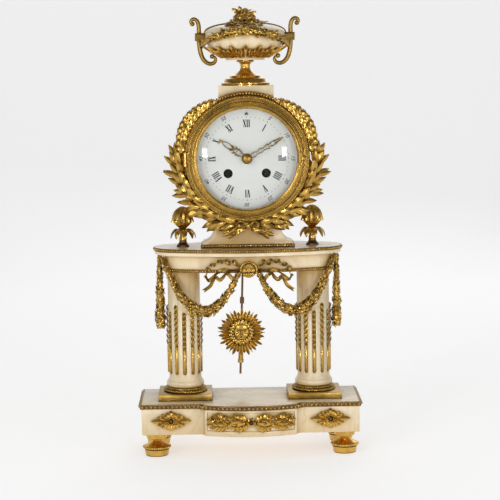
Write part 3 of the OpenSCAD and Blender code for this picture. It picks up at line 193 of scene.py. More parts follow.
def join(parts):
    """Joins objects into the first of them"""
    use(parts[0])
    for part in parts:
        part.select_set(True)
    if len(parts) > 1:
        bpy.ops.object.join()
    return parts[0]


def stand(point, along, out, size):
    """Matrix with X along a direction, Z out of the surface, scaled by size"""
    x = Vector(along).normalized()
    z = Vector(out)
    z = (z - x * z.dot(x)).normalized()
    basis = Matrix((x, z.cross(x), z)).transposed().to_4x4()
    scale = size if hasattr(size, "__len__") else (size, size, size)
    return Matrix.Translation(Vector(point)) @ basis @ Matrix.Diagonal((*scale, 1))


def row(places, size, face=None, lean=0.0):
    """Matrices at (place, way, outward) places, facing outwards or a way that leans outwards"""
    return [stand(p, way, face + out * lean if face else out, size) for p, way, out in places]


class Unit:
    """A modelled unit and the places where its copies will stand"""

    def __init__(self, obj):
        self.obj = obj
        self.places = []
        UNITS.append(self)

    def at(self, *place):
        """Adds a place, told as stand() takes it"""
        self.places.append(stand(*place))

    def copies(self):
        """Copies at the places so far, each with its own mesh, joined"""
        made = []
        for place in self.places:
            made.append(twin(self.obj))
            made[-1].data.transform(place)
        self.places = []
        return join(made)


def done():
    """Removes the units and ends an operator"""
    while UNITS:
        bpy.data.objects.remove(UNITS.pop().obj)
    return {"FINISHED"}


def finish_piece(parts, name, node=None, angle=45, look=GILT, slot=GILT, body="case"):
    """Joins objects and units' copies, applies the place, shades, and hands the piece to its body"""
    obj = use(join([part.copies() if isinstance(part, Unit) else part for part in parts]))
    obj.name = name
    bpy.ops.object.transform_apply(location=True, rotation=True, scale=True)
    bpy.ops.object.shade_smooth_by_angle(angle=math.radians(angle))
    obj.data.materials.clear()
    obj.data.materials.append(FINISH[look])
    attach(obj, body)
    if node:
        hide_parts(node)


def from_cad(node, soften=0.0):
    """A merged copy of a CAD node's mesh, with its sharp edges softened"""
    obj = twin(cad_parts[node])
    for key in list(obj.keys()):
        del obj[key]
    obj.parent = None
    edit(obj)
    bpy.ops.mesh.customdata_custom_splitnormals_clear()
    bpy.ops.mesh.remove_doubles(threshold=2e-6)
    bpy.ops.mesh.dissolve_limited(angle_limit=math.radians(0.4))
    bpy.ops.mesh.normals_make_consistent(inside=False)
    rest()
    if soften:
        modify(obj, "BEVEL", width=soften, segments=2, limit_method="ANGLE",
               angle_limit=math.radians(38), use_clamp_overlap=False)
    return obj


def leaf_unit(rows, ridge, cup, thick, across=4):
    """A leaf along X, its face up; each row is (x, half width, lift)"""
    last = len(rows) - 1
    obj = started(bpy.ops.mesh.primitive_grid_add, x_subdivisions=last, y_subdivisions=across, size=1)
    verts = obj.data.vertices
    lines = [{v.index for v in verts if round((v.co.x + 0.5) * last) == i} for i in range(last + 1)]
    if any(len(line) != across + 1 for line in lines):
        raise RuntimeError("the leaf's grid has other rows than asked for")
    rib = {v.index for v in verts if abs(v.co.y) < 1e-4}
    rim = {v.index for v in verts if abs(v.co.y) > 0.499}
    edit(obj)
    for i, (x, half, lift) in enumerate(rows):
        pick(lambda v: v.index in lines[i])
        resize((1, 2 * half, 1))
        shift((x - (i / last - 0.5), 0, lift))
    for line, way in ((rib, ridge), (rim, cup)):
        pick(lambda v: v.index in line)
        shift(way)
    rest()
    return Unit(modify(obj, "SOLIDIFY", thickness=thick, offset=-1))


def bead_unit(long=1.0):
    """A cast bead of radius 1, flat where it is soldered down"""
    obj = edit(started(bpy.ops.mesh.primitive_ico_sphere_add, subdivisions=2, radius=1))
    resize((long, 1, 1))
    pick(lambda v: v.co.z < -0.3)
    resize((1.05, 1.05, 0.4))
    rest()
    return Unit(obj)


def blossom_unit(petals=5):
    """A flower of radius 1 facing Z, with notched petals round a raised heart"""
    step = math.tau / petals
    obj = edit(started(bpy.ops.mesh.primitive_circle_add, vertices=petals * 4, radius=1,
                       fill_type="NGON"), "FACE")
    for thickness, depth in ((0.45, 0.16), (0.22, -0.22), (0.12, 0.34)):
        bpy.ops.mesh.inset(thickness=thickness, depth=depth)
    bpy.ops.mesh.select_mode(type="VERT")
    pick(lambda v: v.co.xy.length > 0.9
         and abs((math.atan2(v.co.y, v.co.x) + step / 2) % step - step / 2) > step * 0.45)
    resize((0.62, 0.62, 1))
    pick(lambda v: v.co.xy.length > 0.9)
    shift((0, 0, -0.08))
    rest()
    return Unit(modify(obj, "SOLIDIFY", thickness=0.14, offset=-1))


def tube(points, radius, radii=None, sides=2, closed=False):
    """A round bar through points, as a mesh"""
    data = put(bpy.data.curves.new("tube", "CURVE"), dimensions="3D", twist_mode="MINIMUM",
               bevel_depth=radius, bevel_resolution=sides, use_fill_caps=True)
    line = data.splines.new("POLY")
    line.points.add(len(points) - 1)
    line.use_cyclic_u = closed
    for i, place in enumerate(points):
        put(line.points[i], co=(*place, 1), radius=radii[i] if radii else 1.0)
    use(linked(bpy.data.objects.new("tube", data)))
    bpy.ops.object.convert(target="MESH")
    return bpy.context.active_object


def turned(outline, steps, place):
    """A turned body about Z from (radius, height) pairs in mm, spun from an extruded line"""
    line = [(r / 1000, z / 1000) for r, z in outline]
    obj = edit(started(bpy.ops.mesh.primitive_plane_add, size=1))
    bpy.ops.mesh.merge(type="CENTER")
    shift((line[0][0], 0, line[0][1]))
    for (r0, z0), (r1, z1) in zip(line, line[1:]):
        extrude((r1 - r0, 0, z1 - z0))
    bpy.ops.mesh.select_all(action="SELECT")
    bpy.ops.mesh.spin(steps=steps, angle=math.tau, center=(0, 0, 0), axis=(0, 0, 1))
    bpy.ops.mesh.select_all(action="SELECT")
    bpy.ops.mesh.remove_doubles(threshold=1e-6)
    bpy.ops.mesh.normals_make_consistent(inside=False)
    rest()
    obj.data.transform(place)
    return obj


def mm(x, y, z):
    return Vector((x, y, z)) / 1000


def lerp(a, b, t):
    return a + (b - a) * t


def wave(t, turns):
    return math.sin(math.tau * turns * t)


def spaced(points, gap):
    """Evenly spaced (place, way) pairs along a polyline"""
    points = [Vector(p) for p in points]
    spans = [(a, b, (b - a).length) for a, b in zip(points, points[1:])]
    total = sum(length for a, b, length in spans)
    count = max(2, round(total / gap))
    for i in range(count):
        at = total * (i + 0.5) / count
        for a, b, length in spans:
            if at <= length:
                yield a + (b - a) * (at / length), (b - a).normalized()
                break
            at -= length


def strung(line, gap, size, run=1.0, rise=0.0, out=None):
    """Matrices of beads along a level line, leaning like the lays of a rope"""
    return [stand(p, way * run + UP * rise, out or way.cross(UP), size) for p, way in spaced(line, gap)]


def blend(turn, a, b):
    """Way at a turn in radians from way a to way b"""
    return a * math.cos(turn) + b * math.sin(turn)


def around(degrees):
    """Way out from a standing axis at an angle"""
    return blend(math.radians(degrees), RIGHT, BACK)


def ring(count, radius, height, centre=(0, 0)):
    """Places on a level circle: (place, way, outward)"""
    for i in range(count):
        out = around(360 * i / count)
        yield Vector((*centre, height)) + out * radius, UP.cross(out), out


def clockwise(degrees):
    """Way out from the dial's axis at an angle from the top, and the way on from there"""
    a = math.radians(degrees)
    return blend(a, UP, RIGHT), blend(a, RIGHT, -UP)


def dial_axis(y):
    return Vector((0, y, DIAL_Z))


def dial_ring(count, radius, y):
    """Places on a circle round the dial's axis, clockwise from the top: (place, way, outward)"""
    for i in range(count):
        out, way = clockwise(360 * i / count)
        yield dial_axis(y) + out * radius, way, out


def oval_front(axes, grow, x):
    """Front of an oval of two arcs, grown outwards, at a place x"""
    a, b = (axis + grow for axis in axes)
    end = 0.68 * b
    side = ((a - end) ** 2 + b * b - end * end) / (2 * (b - end))
    meet = a - end + end * math.cos(math.atan2(side - b, a - end))
    if x < meet:
        return COLUMN_Y - math.sqrt(side * side - x * x) + side - b
    return COLUMN_Y - math.sqrt(max(0.0, end * end - (x - a + end) ** 2))


def oval(axes, grow, z, steps=60):
    """Closed outline of that oval"""
    front = []
    for i in range(steps + 1):
        x = (axes[0] + grow) * math.sin(math.pi / 2 * i / steps)
        front.append((x, oval_front(axes, grow, x)))
    right = front + [(x, 2 * COLUMN_Y - y) for x, y in reversed(front[:-1])]
    left = [(-x, y) for x, y in reversed(right[1:-1])]
    return [Vector((x, y, z)) for x, y in right + left + right[:1]]


def base_front(grow, z, steps=24):
    """Front outline of the base, grown outwards, from left to right"""
    half = []
    for i in range(steps + 1):
        x = BOW_HALF * i / steps
        half.append((x, BOW_CENTRE - math.sqrt((BOW_R + grow) ** 2 - x * x)))
    cove = BOW_COVE - grow
    for i in range(9):
        a = math.pi / 2 * (1 - i / 8)
        half.append((BOW_HALF + BOW_COVE - cove * math.sin(a), WING_Y - BOW_COVE + cove * math.cos(a)))
    half.append((BASE_HALF + grow, WING_Y - grow))
    return [Vector((-x, y, z)) for x, y in reversed(half[1:])] + [Vector((x, y, z)) for x, y in half]


def feed(tree, node, inputs):
    """Gives a node's inputs sockets to follow or values"""
    for key, value in inputs.items():
        socket = node.inputs[key]
        if isinstance(value, bpy.types.NodeSocket):
            tree.links.new(value, socket)
        else:
            socket.default_value = (*value, 1) if socket.type == "RGBA" else value
    return node


def add(tree, kind, inputs=None, **values):
    return feed(tree, put(tree.nodes.new("ShaderNode" + kind), **values), inputs or {})


def ramp(tree, source, *stops):
    """Colours of a socket from (place, colour or grey) stops"""
    node = add(tree, "ValToRGB", {"Fac": source})
    while len(node.color_ramp.elements) < len(stops):
        node.color_ramp.elements.new(0.5)
    for element, (place, colour) in zip(node.color_ramp.elements, stops):
        element.position = place
        element.color = (*colour, 1) if hasattr(colour, "__len__") else (colour, colour, colour, 1)
    return node.outputs["Color"]


def mix(tree, factor, a, b):
    """Mixes two colours; each of the three is a socket or a value"""
    node = add(tree, "Mix", data_type="RGBA")
    return feed(tree, node, {0: factor, 6: a, 7: b}).outputs[2]


def noise(tree, scale, detail=5.0, stretch=(1, 1, 1), distortion=0.0):
    coords = add(tree, "TexCoord")
    place = add(tree, "Mapping", {"Vector": coords.outputs["Object"], "Scale": stretch})
    return add(tree, "TexNoise", {"Vector": place.outputs["Vector"], "Scale": scale, "Detail": detail,
                                  "Distortion": distortion}).outputs["Fac"]


def start_finish(name):
    material = bpy.data.materials.new(name)
    material.use_nodes = True
    FINISH[name] = material
    return material.node_tree, material.node_tree.nodes["Principled BSDF"]


def spread(tree, source, low, high, start=0.0, end=1.0):
    """Maps a socket that runs from start to end to low to high"""
    return add(tree, "MapRange", {"Value": source, "From Min": start, "From Max": end, "To Min": low,
                                  "To Max": high}).outputs["Result"]


def recess(tree, distance, low, high):
    """0 in the recesses and 1 on open surfaces"""
    node = add(tree, "AmbientOcclusion", {"Distance": distance}, samples=8)
    return ramp(tree, node.outputs["AO"], (low, 0.0), (high, 1.0))


def bump(tree, source, strength, distance):
    return add(tree, "Bump", {"Height": source, "Strength": strength,
                              "Distance": distance}).outputs["Normal"]


def marble_finish():
    tree, shader = start_finish("marble")
    base = Vector(colours().marble)
    # painted shade colour: the marble's cream turned amber, like shade warmed by light bounced off the
    # gilding
    painted_shade_amber = Vector((base.x * 0.64, base.y * 0.44, base.z * 0.13))
    cloud = ramp(tree, noise(tree, 26, 8, (1, 1, 0.4), 0.8),
                 (0.30, base * 0.86), (0.50, base), (0.72, base * 1.14))
    band = ramp(tree, noise(tree, 11, 6, (1.4, 1.4, 0.55), 2.2), (0.455, 0.0), (0.50, 0.30), (0.53, 0.0))
    fleck = ramp(tree, noise(tree, 90, 6, (1, 1, 0.5), 0.4), (0.60, 0.0), (0.78, 0.32))
    flecked = mix(tree, fleck, mix(tree, band, cloud, colours().vein), base * 0.74)
    # painted shade: the marble turns amber in its hollows and under overhangs
    marble_with_painted_shade = mix(tree, recess(tree, 0.060, 0.30, 0.90), painted_shade_amber, flecked)
    feed(tree, shader, {
        # painted shade: a darker amber in tight recesses
        "Base Color": mix(tree, recess(tree, 0.005, 0.08, 0.60), painted_shade_amber * 0.7, marble_with_painted_shade),
        "Roughness": spread(tree, noise(tree, 60, 4), 0.20, 0.40),
        "Subsurface Weight": 0.10, "Subsurface Radius": (1.0, 0.65, 0.4), "Subsurface Scale": 0.004,
        "Normal": bump(tree, noise(tree, 320, 4), 0.08, 0.0004)})


def metal_finish(name, bright, dark, low, high, rough, grain=0.12):
    """Metal with dirt in its recesses and worn, uneven gloss"""
    tree, shader = start_finish(name)
    bright = Vector(bright)
    tint = ramp(tree, noise(tree, 130, 5), (0.30, bright * 0.80), (0.55, bright), (0.75, bright * 1.12))
    stain = ramp(tree, noise(tree, 45, 7, distortion=0.6), (0.52, 0.0), (0.72, 0.45))
    worn = mix(tree, stain, tint, bright * 0.45)
    feed(tree, shader, {
        "Base Color": mix(tree, recess(tree, 0.0020, low, high), dark, worn), "Metallic": 1.0,
        "Roughness": spread(tree, noise(tree, 260, 4), rough * 0.75, rough * 1.35),
        "Normal": bump(tree, noise(tree, 900, 3), grain, 0.0002)})


def enamel_finish():
    tree, shader = start_finish("enamel")
    feed(tree, shader, {
        "Base Color": ramp(tree, noise(tree, 22, 4), (0.3, (0.70, 0.70, 0.685)), (0.7, (0.77, 0.77, 0.755))),
        "Roughness": spread(tree, noise(tree, 70, 3), 0.10, 0.20), "Coat Weight": 0.6,
        "Normal": bump(tree, noise(tree, 55, 3), 0.03, 0.0006)})


def ink_finish():
    tree, shader = start_finish("ink")
    feed(tree, shader, {
        "Base Color": ramp(tree, noise(tree, 700, 4), (0.35, (0.006, 0.006, 0.008)),
                           (0.75, (0.022, 0.021, 0.025))),
        "Roughness": spread(tree, noise(tree, 300, 3), 0.2, 0.45)})


def glass_finish():
    tree, shader = start_finish("glass")
    tree.nodes.remove(shader)
    clear = add(tree, "BsdfTransparent", {"Color": (0.985, 0.992, 0.988)})
    smear = spread(tree, noise(tree, 60, 4), 0.02, 0.07)
    shine = add(tree, "BsdfGlossy", {"Color": (1, 1, 1), "Roughness": smear})
    weight = add(tree, "LayerWeight", {"Blend": 0.3})
    steep = add(tree, "Math", {0: weight.outputs["Facing"], 1: 3.0}, operation="POWER")
    facing = spread(tree, steep.outputs["Value"], 0.008, 0.6)
    both = add(tree, "MixShader", {0: facing, 1: clear.outputs["BSDF"], 2: shine.outputs["BSDF"]})
    feed(tree, tree.nodes["Material Output"], {"Surface": both.outputs["Shader"]})


SLOTS = {
    "marble": ("base_block", "column_left", "column_right", "entablature", "drum_support",
               "urn_pedestal", "urn_bowl", "urn_lid"),
    DARK_BRONZE_AND_SHADE: ("finial_feet", "mount_pins", "bell", "bell_stand"),
    "brass": ("drum_case", "front_plate", "back_plate", "plate_pillars", "back_cock",
              "rear_ring", "rear_door", "going_barrel", "intermediate_wheel", "third_wheel",
              "escape_wheel", "strike_barrel", "hour_wheel", "minute_wheel", "rating_nut"),
    "steel": ("tie_rods", "centre_arbor", "anchor", "pendulum_rod", "hammer", "hinge_pins"),
    "enamel": ("dial",),
    "glass": ("bezel_glass",),
}
OWN_LOOK = {
    # painted shade: the brass front plate and barrels, seen through the winding holes, are black where the
    # dial shades them
    "front_plate": "winding_hole_painted_shade", "going_barrel": "winding_hole_painted_shade", "strike_barrel": "winding_hole_painted_shade",
    "pendulum_rod": DARK_BRONZE_AND_SHADE, "bezel_door": "burnished", "bezel_frame": "burnished",
    "urn_foot": "burnished", "column_plinths": BROWN,
}


def slot_of(node):
    for slot, nodes in SLOTS.items():
        if node in nodes:
            return slot
    return GILT


def look_of(node):
    return OWN_LOOK.get(node) or slot_of(node)


class CLOCK_OT_finishes(bpy.types.Operator):
    """Makes the finishes and puts them on the CAD pieces"""

    bl_idname = "clock.finishes"
    bl_label = "Finishes"

    def execute(self, context):
        gold, patina = Vector(colours().gold), colours().patina
        marble_finish()
        metal_finish(GILT, gold, patina, 0.28, 0.85, 0.27)
        # painted light: a lighter copy of the gilding, for the feet, base panel, rosettes and leaf cup
        metal_finish(LIT_GILT, gold * 1.4, patina, 0.28, 0.85, 0.25)
        metal_finish("burnished", gold * 1.1, patina, 0.20, 0.70, 0.22, 0.03)
        metal_finish(BROWN, gold * 0.62, patina, 0.26, 0.80, 0.34)
        # dark bronze, also laid on the cores behind the beads and rope lays as painted shade in the gaps
        # between them
        metal_finish(DARK_BRONZE_AND_SHADE, (0.16, 0.095, 0.04), (0.02, 0.012, 0.008), 0.2, 0.8, 0.36)
        # painted shade: black for the brass that lies in shade behind the winding holes
        metal_finish("winding_hole_painted_shade", (0.020, 0.017, 0.014), (0.004, 0.004, 0.003), 0.2, 0.8, 0.60)
        metal_finish("brass", (0.62, 0.44, 0.17), (0.08, 0.05, 0.015), 0.15, 0.7, 0.30)
        metal_finish("steel", (0.40, 0.41, 0.43), (0.05, 0.045, 0.04), 0.1, 0.6, 0.28)
        enamel_finish()
        ink_finish()
        glass_finish()
        for name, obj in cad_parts.items():
            if not obj.data.materials:
                obj.data.materials.append(FINISH[look_of(name)])
            for holder in obj.material_slots:
                holder.material = FINISH[look_of(name)]
        return done()


LAMPS = (
    ("window_left", (-0.80, -2.05, 0.34), (0.07, 0.16), 8.0),
    ("window_right", (0.77, -2.05, 0.34), (0.07, 0.16), 8.0),
    ("key", (-1.15, -1.40, 0.95), (0.6, 0.8), 6.3),
    ("fill", (1.35, -1.25, 0.55), (0.4, 1.0), 3.8),
    ("top", (0.1, -0.2, 1.9), (1.2, 0.8), 2.6),
    ("back", (0.3, 1.5, 1.1), (1.2, 1.2), 4.0),
)
LAMP_AIM = Vector((0, 0, 0.24))
CAMERA_PLACE = (-0.0302, -1.8610, 0.4252)
CAMERA_PITCH, CAMERA_YAW, CAMERA_ROLL = math.radians(6.2), math.radians(1.0), math.radians(0.8)
SENSOR = 36.0
FOCAL_PIXELS, PHOTO_PIXELS = 1700.0, 500.0


class CLOCK_OT_stage(bpy.types.Operator):
    """Sets the floor, the lights and the camera"""

    bl_idname = "clock.stage"
    bl_label = "Stage"

    def execute(self, context):
        half, wall, sweep = 3.0, 4.0, 1.6
        floor = edit(started(bpy.ops.mesh.primitive_plane_add, size=2 * half))
        floor.name = "studio_floor"
        pick(lambda v: v.co.y > half - 0.1)
        extrude((0, 0, wall))
        pick(lambda v: v.co.y > half - 0.1 and v.co.z < 0.1)
        bpy.ops.mesh.bevel(offset=sweep, segments=16)
        use(floor)
        bpy.ops.object.shade_smooth()
        tree, shader = start_finish("studio")
        tone = Vector(colours().floor)
        feed(tree, shader, {
            "Base Color": ramp(tree, noise(tree, 2, 2), (0.3, tone * 0.995), (0.7, tone)),
            "Emission Color": (1, 1, 1), "Emission Strength": 0.55, "Roughness": 0.9,
            "Specular IOR Level": 0.1})
        floor.data.materials.append(FINISH["studio"])

        world = bpy.data.worlds.new("studio_sky")
        world.use_nodes = True
        tree = world.node_tree
        axes = add(tree, "SeparateXYZ", {"Vector": add(tree, "TexCoord").outputs["Generated"]})
        aside = spread(tree, axes.outputs["Y"], 0.20, 0.45, -0.75, -0.30)
        low = spread(tree, axes.outputs["Z"], 1.0, 0.0, 0.20, 0.55)
        glow = add(tree, "Math", {0: aside, 1: low, 2: 0.20}, operation="MULTIPLY_ADD")
        feed(tree, tree.nodes["Background"], {"Color": (1, 1, 1), "Strength": glow.outputs["Value"]})
        context.scene.world = world

        for name, place, (wide, high), power in LAMPS:
            light = put(bpy.data.lights.new(name, "AREA"), shape="RECTANGLE", size=wide, size_y=high,
                        energy=power)
            aim = LAMP_AIM - Vector(place)
            put(linked(bpy.data.objects.new(name, light)), location=place,
                rotation_euler=aim.to_track_quat("-Z", "Y").to_euler())

        level = Vector((math.cos(CAMERA_YAW), -math.sin(CAMERA_YAW), 0))
        ahead = Vector((math.sin(CAMERA_YAW), math.cos(CAMERA_YAW), 0))
        forward = ahead * math.cos(CAMERA_PITCH) - UP * math.sin(CAMERA_PITCH)
        over = level.cross(forward)
        right = math.cos(CAMERA_ROLL) * level - math.sin(CAMERA_ROLL) * over
        upward = math.sin(CAMERA_ROLL) * level + math.cos(CAMERA_ROLL) * over
        data = put(bpy.data.cameras.new("camera"), sensor_width=SENSOR,
                   lens=FOCAL_PIXELS / PHOTO_PIXELS * SENSOR, clip_end=50.0)
        camera = linked(bpy.data.objects.new("camera", data))
        camera.matrix_world = (Matrix.Translation(CAMERA_PLACE)
                               @ Matrix((right, upward, -forward)).transposed().to_4x4())
        context.scene.camera = camera
        context.scene.view_settings.view_transform = "Standard"
        return done()


SOFTENED = {
    "base_block": 1.4, "column_left": 0.6, "column_right": 0.6, "drum_support": 1.5, "urn_pedestal": 1.2,
    "urn_bowl": 0.5, "urn_lid": 0.5, "column_plinths": 0.6, "drum_case": 0, "bezel_frame": 0,
    "rear_ring": 0, "urn_foot": 0, "finial_feet": 0, "pendulum_rod": 0, "dial": 0, "bezel_door": 0,
    "bezel_glass": 0, "rear_door": 0, "rating_nut": 0,
}
BODIES = {"pendulum_rod": "pendulum", "bezel_door": "bezel", "bezel_glass": "bezel",
          "rear_door": "back_door", "rating_nut": "nut"}


class CLOCK_OT_stonework(bpy.types.Operator):
    """Softens the turned and cut stone and the plain metal bodies"""

    bl_idname = "clock.stonework"
    bl_label = "Stonework and plain metal"

    def execute(self, context):
        for node, share in SOFTENED.items():
            finish_piece([from_cad(node, sizes().edge * share)], node + "_surface", node, 35,
                         look_of(node), slot_of(node), BODIES.get(node, "case"))
        return done()


LAUREL = (((0, 0.03, 0), (0.08, 0.055, 0.02), (0.22, 0.115, 0.05), (0.42, 0.165, 0.07),
           (0.62, 0.16, 0.06), (0.80, 0.11, 0.03), (0.93, 0.05, 0.0), (1, 0.01, -0.02)),
          (0, 0, 0.035), (0, 0, -0.03), 0.045)
ACANTHUS = (((0, 0.10, 0), (0.09, 0.15, 0.05), (0.17, 0.12, 0.05), (0.29, 0.23, 0.09),
             (0.38, 0.17, 0.09), (0.51, 0.28, 0.11), (0.60, 0.19, 0.11), (0.73, 0.23, 0.09),
             (0.82, 0.14, 0.07), (0.92, 0.10, 0.04), (1, 0.02, -0.02)),
            (0, 0, 0.05), (0, 0, -0.05), 0.06)
SPRIG = (((0, 0.06, 0), (0.25, 0.20, 0.08), (0.55, 0.22, 0.10), (0.8, 0.12, 0.04), (1, 0.02, -0.04)),
         (0, 0, 0.07), (0, 0, -0.02), 0.08, 2)
RAY = (((0, 0.034, 0), (0.30, 0.062, 0.02), (0.60, 0.090, 0.03), (0.80, 0.102, 0.02),
        (0.91, 0.065, 0.01), (1, 0.008, 0.0)), (0, 0, 0.055), (0, 0, -0.01), 0.05)
COLLAR = (((3.0, 1.2, 0.2), (5.5, 2.2, 2.2), (8.5, 3.1, 2.6), (11.2, 3.3, 1.0), (13.1, 2.7, -1.6),
           (14.1, 1.6, -4.2), (14.3, 0.3, -6.2)), (0, 0, 0.9), (0, 0, -0.8), 0.7)
BUD_LEAF = (((0.0, 0.6, 2.6), (2.0, 1.2, 5.6), (5.0, 1.8, 8.5), (9.0, 2.3, 10.3), (13.0, 2.2, 10.9),
             (15.2, 1.4, 11.5), (16.8, 0.3, 12.2)), (0, 0, 0.8), (0, 0, -0.6), 0.6)
FOOT = ((0.1, 0), (12.1, 0), (12.6, 0.8), (13.1, 4.6), (13.6, 6.0), (13.6, 7.0), (12.8, 7.5), (13.0, 8.1),
        (14.7, 8.5), (14.7, 10.6), (13.6, 11.4), (10.6, 12.7), (7.4, 14.1), (5.2, 15.5), (4.3, 16.7),
        (4.4, 17.5), (5.6, 18.1), (9.4, 18.7), (10.9, 19.5), (11.2, 20.8))
BUD = ((0.1, 0), (4.0, 0), (4.4, 1.6), (3.4, 4.0), (3.2, 8.4), (4.6, 10.0), (3.4, 11.8), (4.0, 13.6),
       (6.6, 16.0), (9.0, 19.0), (10.3, 22.6), (10.3, 25.6), (9.0, 29.6), (6.4, 33.4), (3.4, 36.2),
       (1.6, 37.3), (0.1, 37.5))


class CLOCK_OT_base_trim(bpy.types.Operator):
    """Models the bead moulding of the base and the turned feet with their beaded rims"""

    bl_idname = "clock.base_trim"
    bl_label = "Base mouldings and feet"

    def execute(self, context):
        bead = bead_unit()
        r = sizes().bead
        z = BASE_TOP - 0.0025
        shape, gap, grow = (r * 0.84, r * 0.92, r * 1.25), 0.0047, 0.0012
        bead.places += strung(base_front(grow, z), gap, shape)
        for side in SIDES:
            x = side * (BASE_HALF + grow)
            line = ((x, WING_Y + 0.001, z), (x, BASE_BACK, z))
            bead.places += strung(line, gap, shape, out=(side, 0, 0))
        # painted shade: the strip behind the beads is dark, so the gaps between the beads read as shade
        finish_piece([from_cad("base_bead_moulding", 0.0002)], "bead_strip", "base_bead_moulding", 50, DARK_BRONZE_AND_SHADE)
        finish_piece([bead], "base_beads", None, 60)
        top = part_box("base_block")[0][2] * 1000
        outline = FOOT + ((11.2, top), (0.1, top))
        feet = []
        for x in (-0.1035, 0.1035):
            for y in (-0.0203, 0.0407):
                feet.append(turned(outline, 56, Matrix.Translation((x, y, 0))))
                bead.places += row(ring(44, 0.0146, 0.0096, (x, y)), (0.00105, 0.0013, 0.0010))
        finish_piece(feet + [bead], "turned_feet", "toupie_feet", 40, LIT_GILT)
        return done()


def bow_place(x, off):
    """A place on the bow of the base, with the way along it and the way out"""
    depth = math.sqrt(BOW_R ** 2 - x * x)
    out = Vector((x, -depth, 0)) / BOW_R
    return Vector((x, BOW_CENTRE - depth, MIDDLE_Z)) + out * off, UP.cross(out), out


def spray(side, up, s):
    """Place, run, facing and slope of a laurel stem that waves along the panel"""
    start, end, swing, bends = 0.0035, 0.0395, 0.0034, 5.6
    p, way, out = bow_place(side * lerp(start, end, s), 0.0012 + 0.0006 * up)
    slope = math.atan(up * swing * bends * math.cos(bends * s) / (end - start))
    return p + UP * (up * swing * math.sin(bends * s)), way * side, out, slope


class CLOCK_OT_base_mounts(bpy.types.Operator):
    """Models the laurel panel and the two acanthus rosettes on the base"""

    bl_idname = "clock.base_mounts"
    bl_label = "Base mounts"

    def execute(self, context):
        leaf, broad, flower, bead = leaf_unit(*LAUREL), leaf_unit(*ACANTHUS), blossom_unit(), bead_unit()
        chance = random.Random(31)
        stems = []
        for side in SIDES:
            for up in SIDES:
                stems.append(tube([spray(side, up, i / 16)[0] for i in range(17)], 0.0008))
                for i in range(12):
                    p, run, out, slope = spray(side, up, 0.04 + 0.085 * i)
                    for bend in (32, -24):
                        turn = slope + math.radians(up * bend + chance.uniform(-9, 9))
                        long = chance.uniform(0.0088, 0.0112)
                        lean = blend(turn, run, UP) + out * chance.uniform(0.02, 0.22)
                        leaf.at(p + out * 0.0004, lean, out, (long, 0.0125, 0.018))
                    if i % 2:
                        bead.at(p + out * 0.0012, run, out, 0.0011)
            p, way, out = bow_place(side * 0.0060, 0.0024)
            broad.at(p, way * side, out, (0.010, 0.012, 0.014))
        flower.at(*bow_place(0, 0.0010), 0.0050)
        finish_piece(stems + [leaf, broad, bead, flower], "base_panel", "base_panel_mount", look=LIT_GILT)

        seed_r = 0.0034
        for side in SIDES:
            centre = Vector((side * 0.087, WING_Y - 0.0006, MIDDLE_Z))
            for turn, length, wide in ((0, 20.5, 13), (90, 9.6, 16), (18, 14.0, 11), (36, 11.2, 12),
                                       (62, 9.0, 12)):
                for each in {turn, 180 - turn, 180 + turn, (360 - turn) % 360}:
                    run = clockwise(90 - each)[0]
                    broad.at(centre + run * 0.0015 + FRONT * (0.0012 if turn % 90 else 0.0004),
                             run + FRONT * 0.12, FRONT, (length / 1000, wide / 1000, 0.018))
            flower.at(centre + FRONT * 0.0026, RIGHT, FRONT, 0.0047)
            for p, way, out in dial_ring(14, 0, 0):
                bead.at(centre + (out + FRONT) * seed_r, way, FRONT, 0.0006)
        finish_piece([broad, flower, bead], "wing_rosettes", "base_rosettes", look=LIT_GILT)
        return done()


class CLOCK_OT_columns(bpy.types.Operator):
    """Models the column rings and the husk chains in the flutes"""

    bl_idname = "clock.columns"
    bl_label = "Column mounts"

    def execute(self, context):
        bead, lay, husk, knot = bead_unit(), bead_unit(1.7), leaf_unit(*SPRIG), bead_unit()
        foot, flute_r, links = 0.0865, 0.0178, 7
        rods = []
        for side in SIDES:
            centre = (side * COLUMN_X, COLUMN_Y)
            bead.places += row(ring(64, 0.0219, 0.0703, centre), 0.00085)
            for p, way, out in ring(52, 0.0236, 0.0677, centre):
                lay.at(p, way * 0.8 + UP * 0.6, out, (0.00125, 0.0010, 0.0009))
            for i in range(12):
                out = around(-90 + 30 * i)
                across = UP.cross(out)
                length = 0.078 if i % 2 else 0.070
                start = foot + 0.42 * length
                step = (0.58 * length - 0.001) / links
                axis = Vector((*centre, 0)) + out * flute_r
                for j in range(links):
                    at = axis + UP * (start + step * j)
                    for sway in SIDES:
                        husk.at(at + across * sway * 0.0002 + out * 0.0004, UP + across * sway * 0.26, out,
                                (step * 0.92, step, step))
                    husk.at(at + UP * 0.0002 + out * 0.0013, UP + out * 0.16, out,
                            (step * 0.70, step * 0.74, step * 0.9))
                    knot.at(at - UP * 0.0006 + out * 0.0009, UP, out, 0.0010)
                heights = (foot + 0.0002, foot + 0.0012, start - 0.0026, start - 0.0016)
                rods.append(tube([axis - out * 0.0003 + UP * h for h in heights], 0.00195,
                                 (0.6, 1.0, 1.0, 0.6), 3))
        finish_piece([bead, lay], "column_ring_beads", None, 60)
        finish_piece(rods + [husk, knot], "flute_husks", "flute_inserts")
        return done()


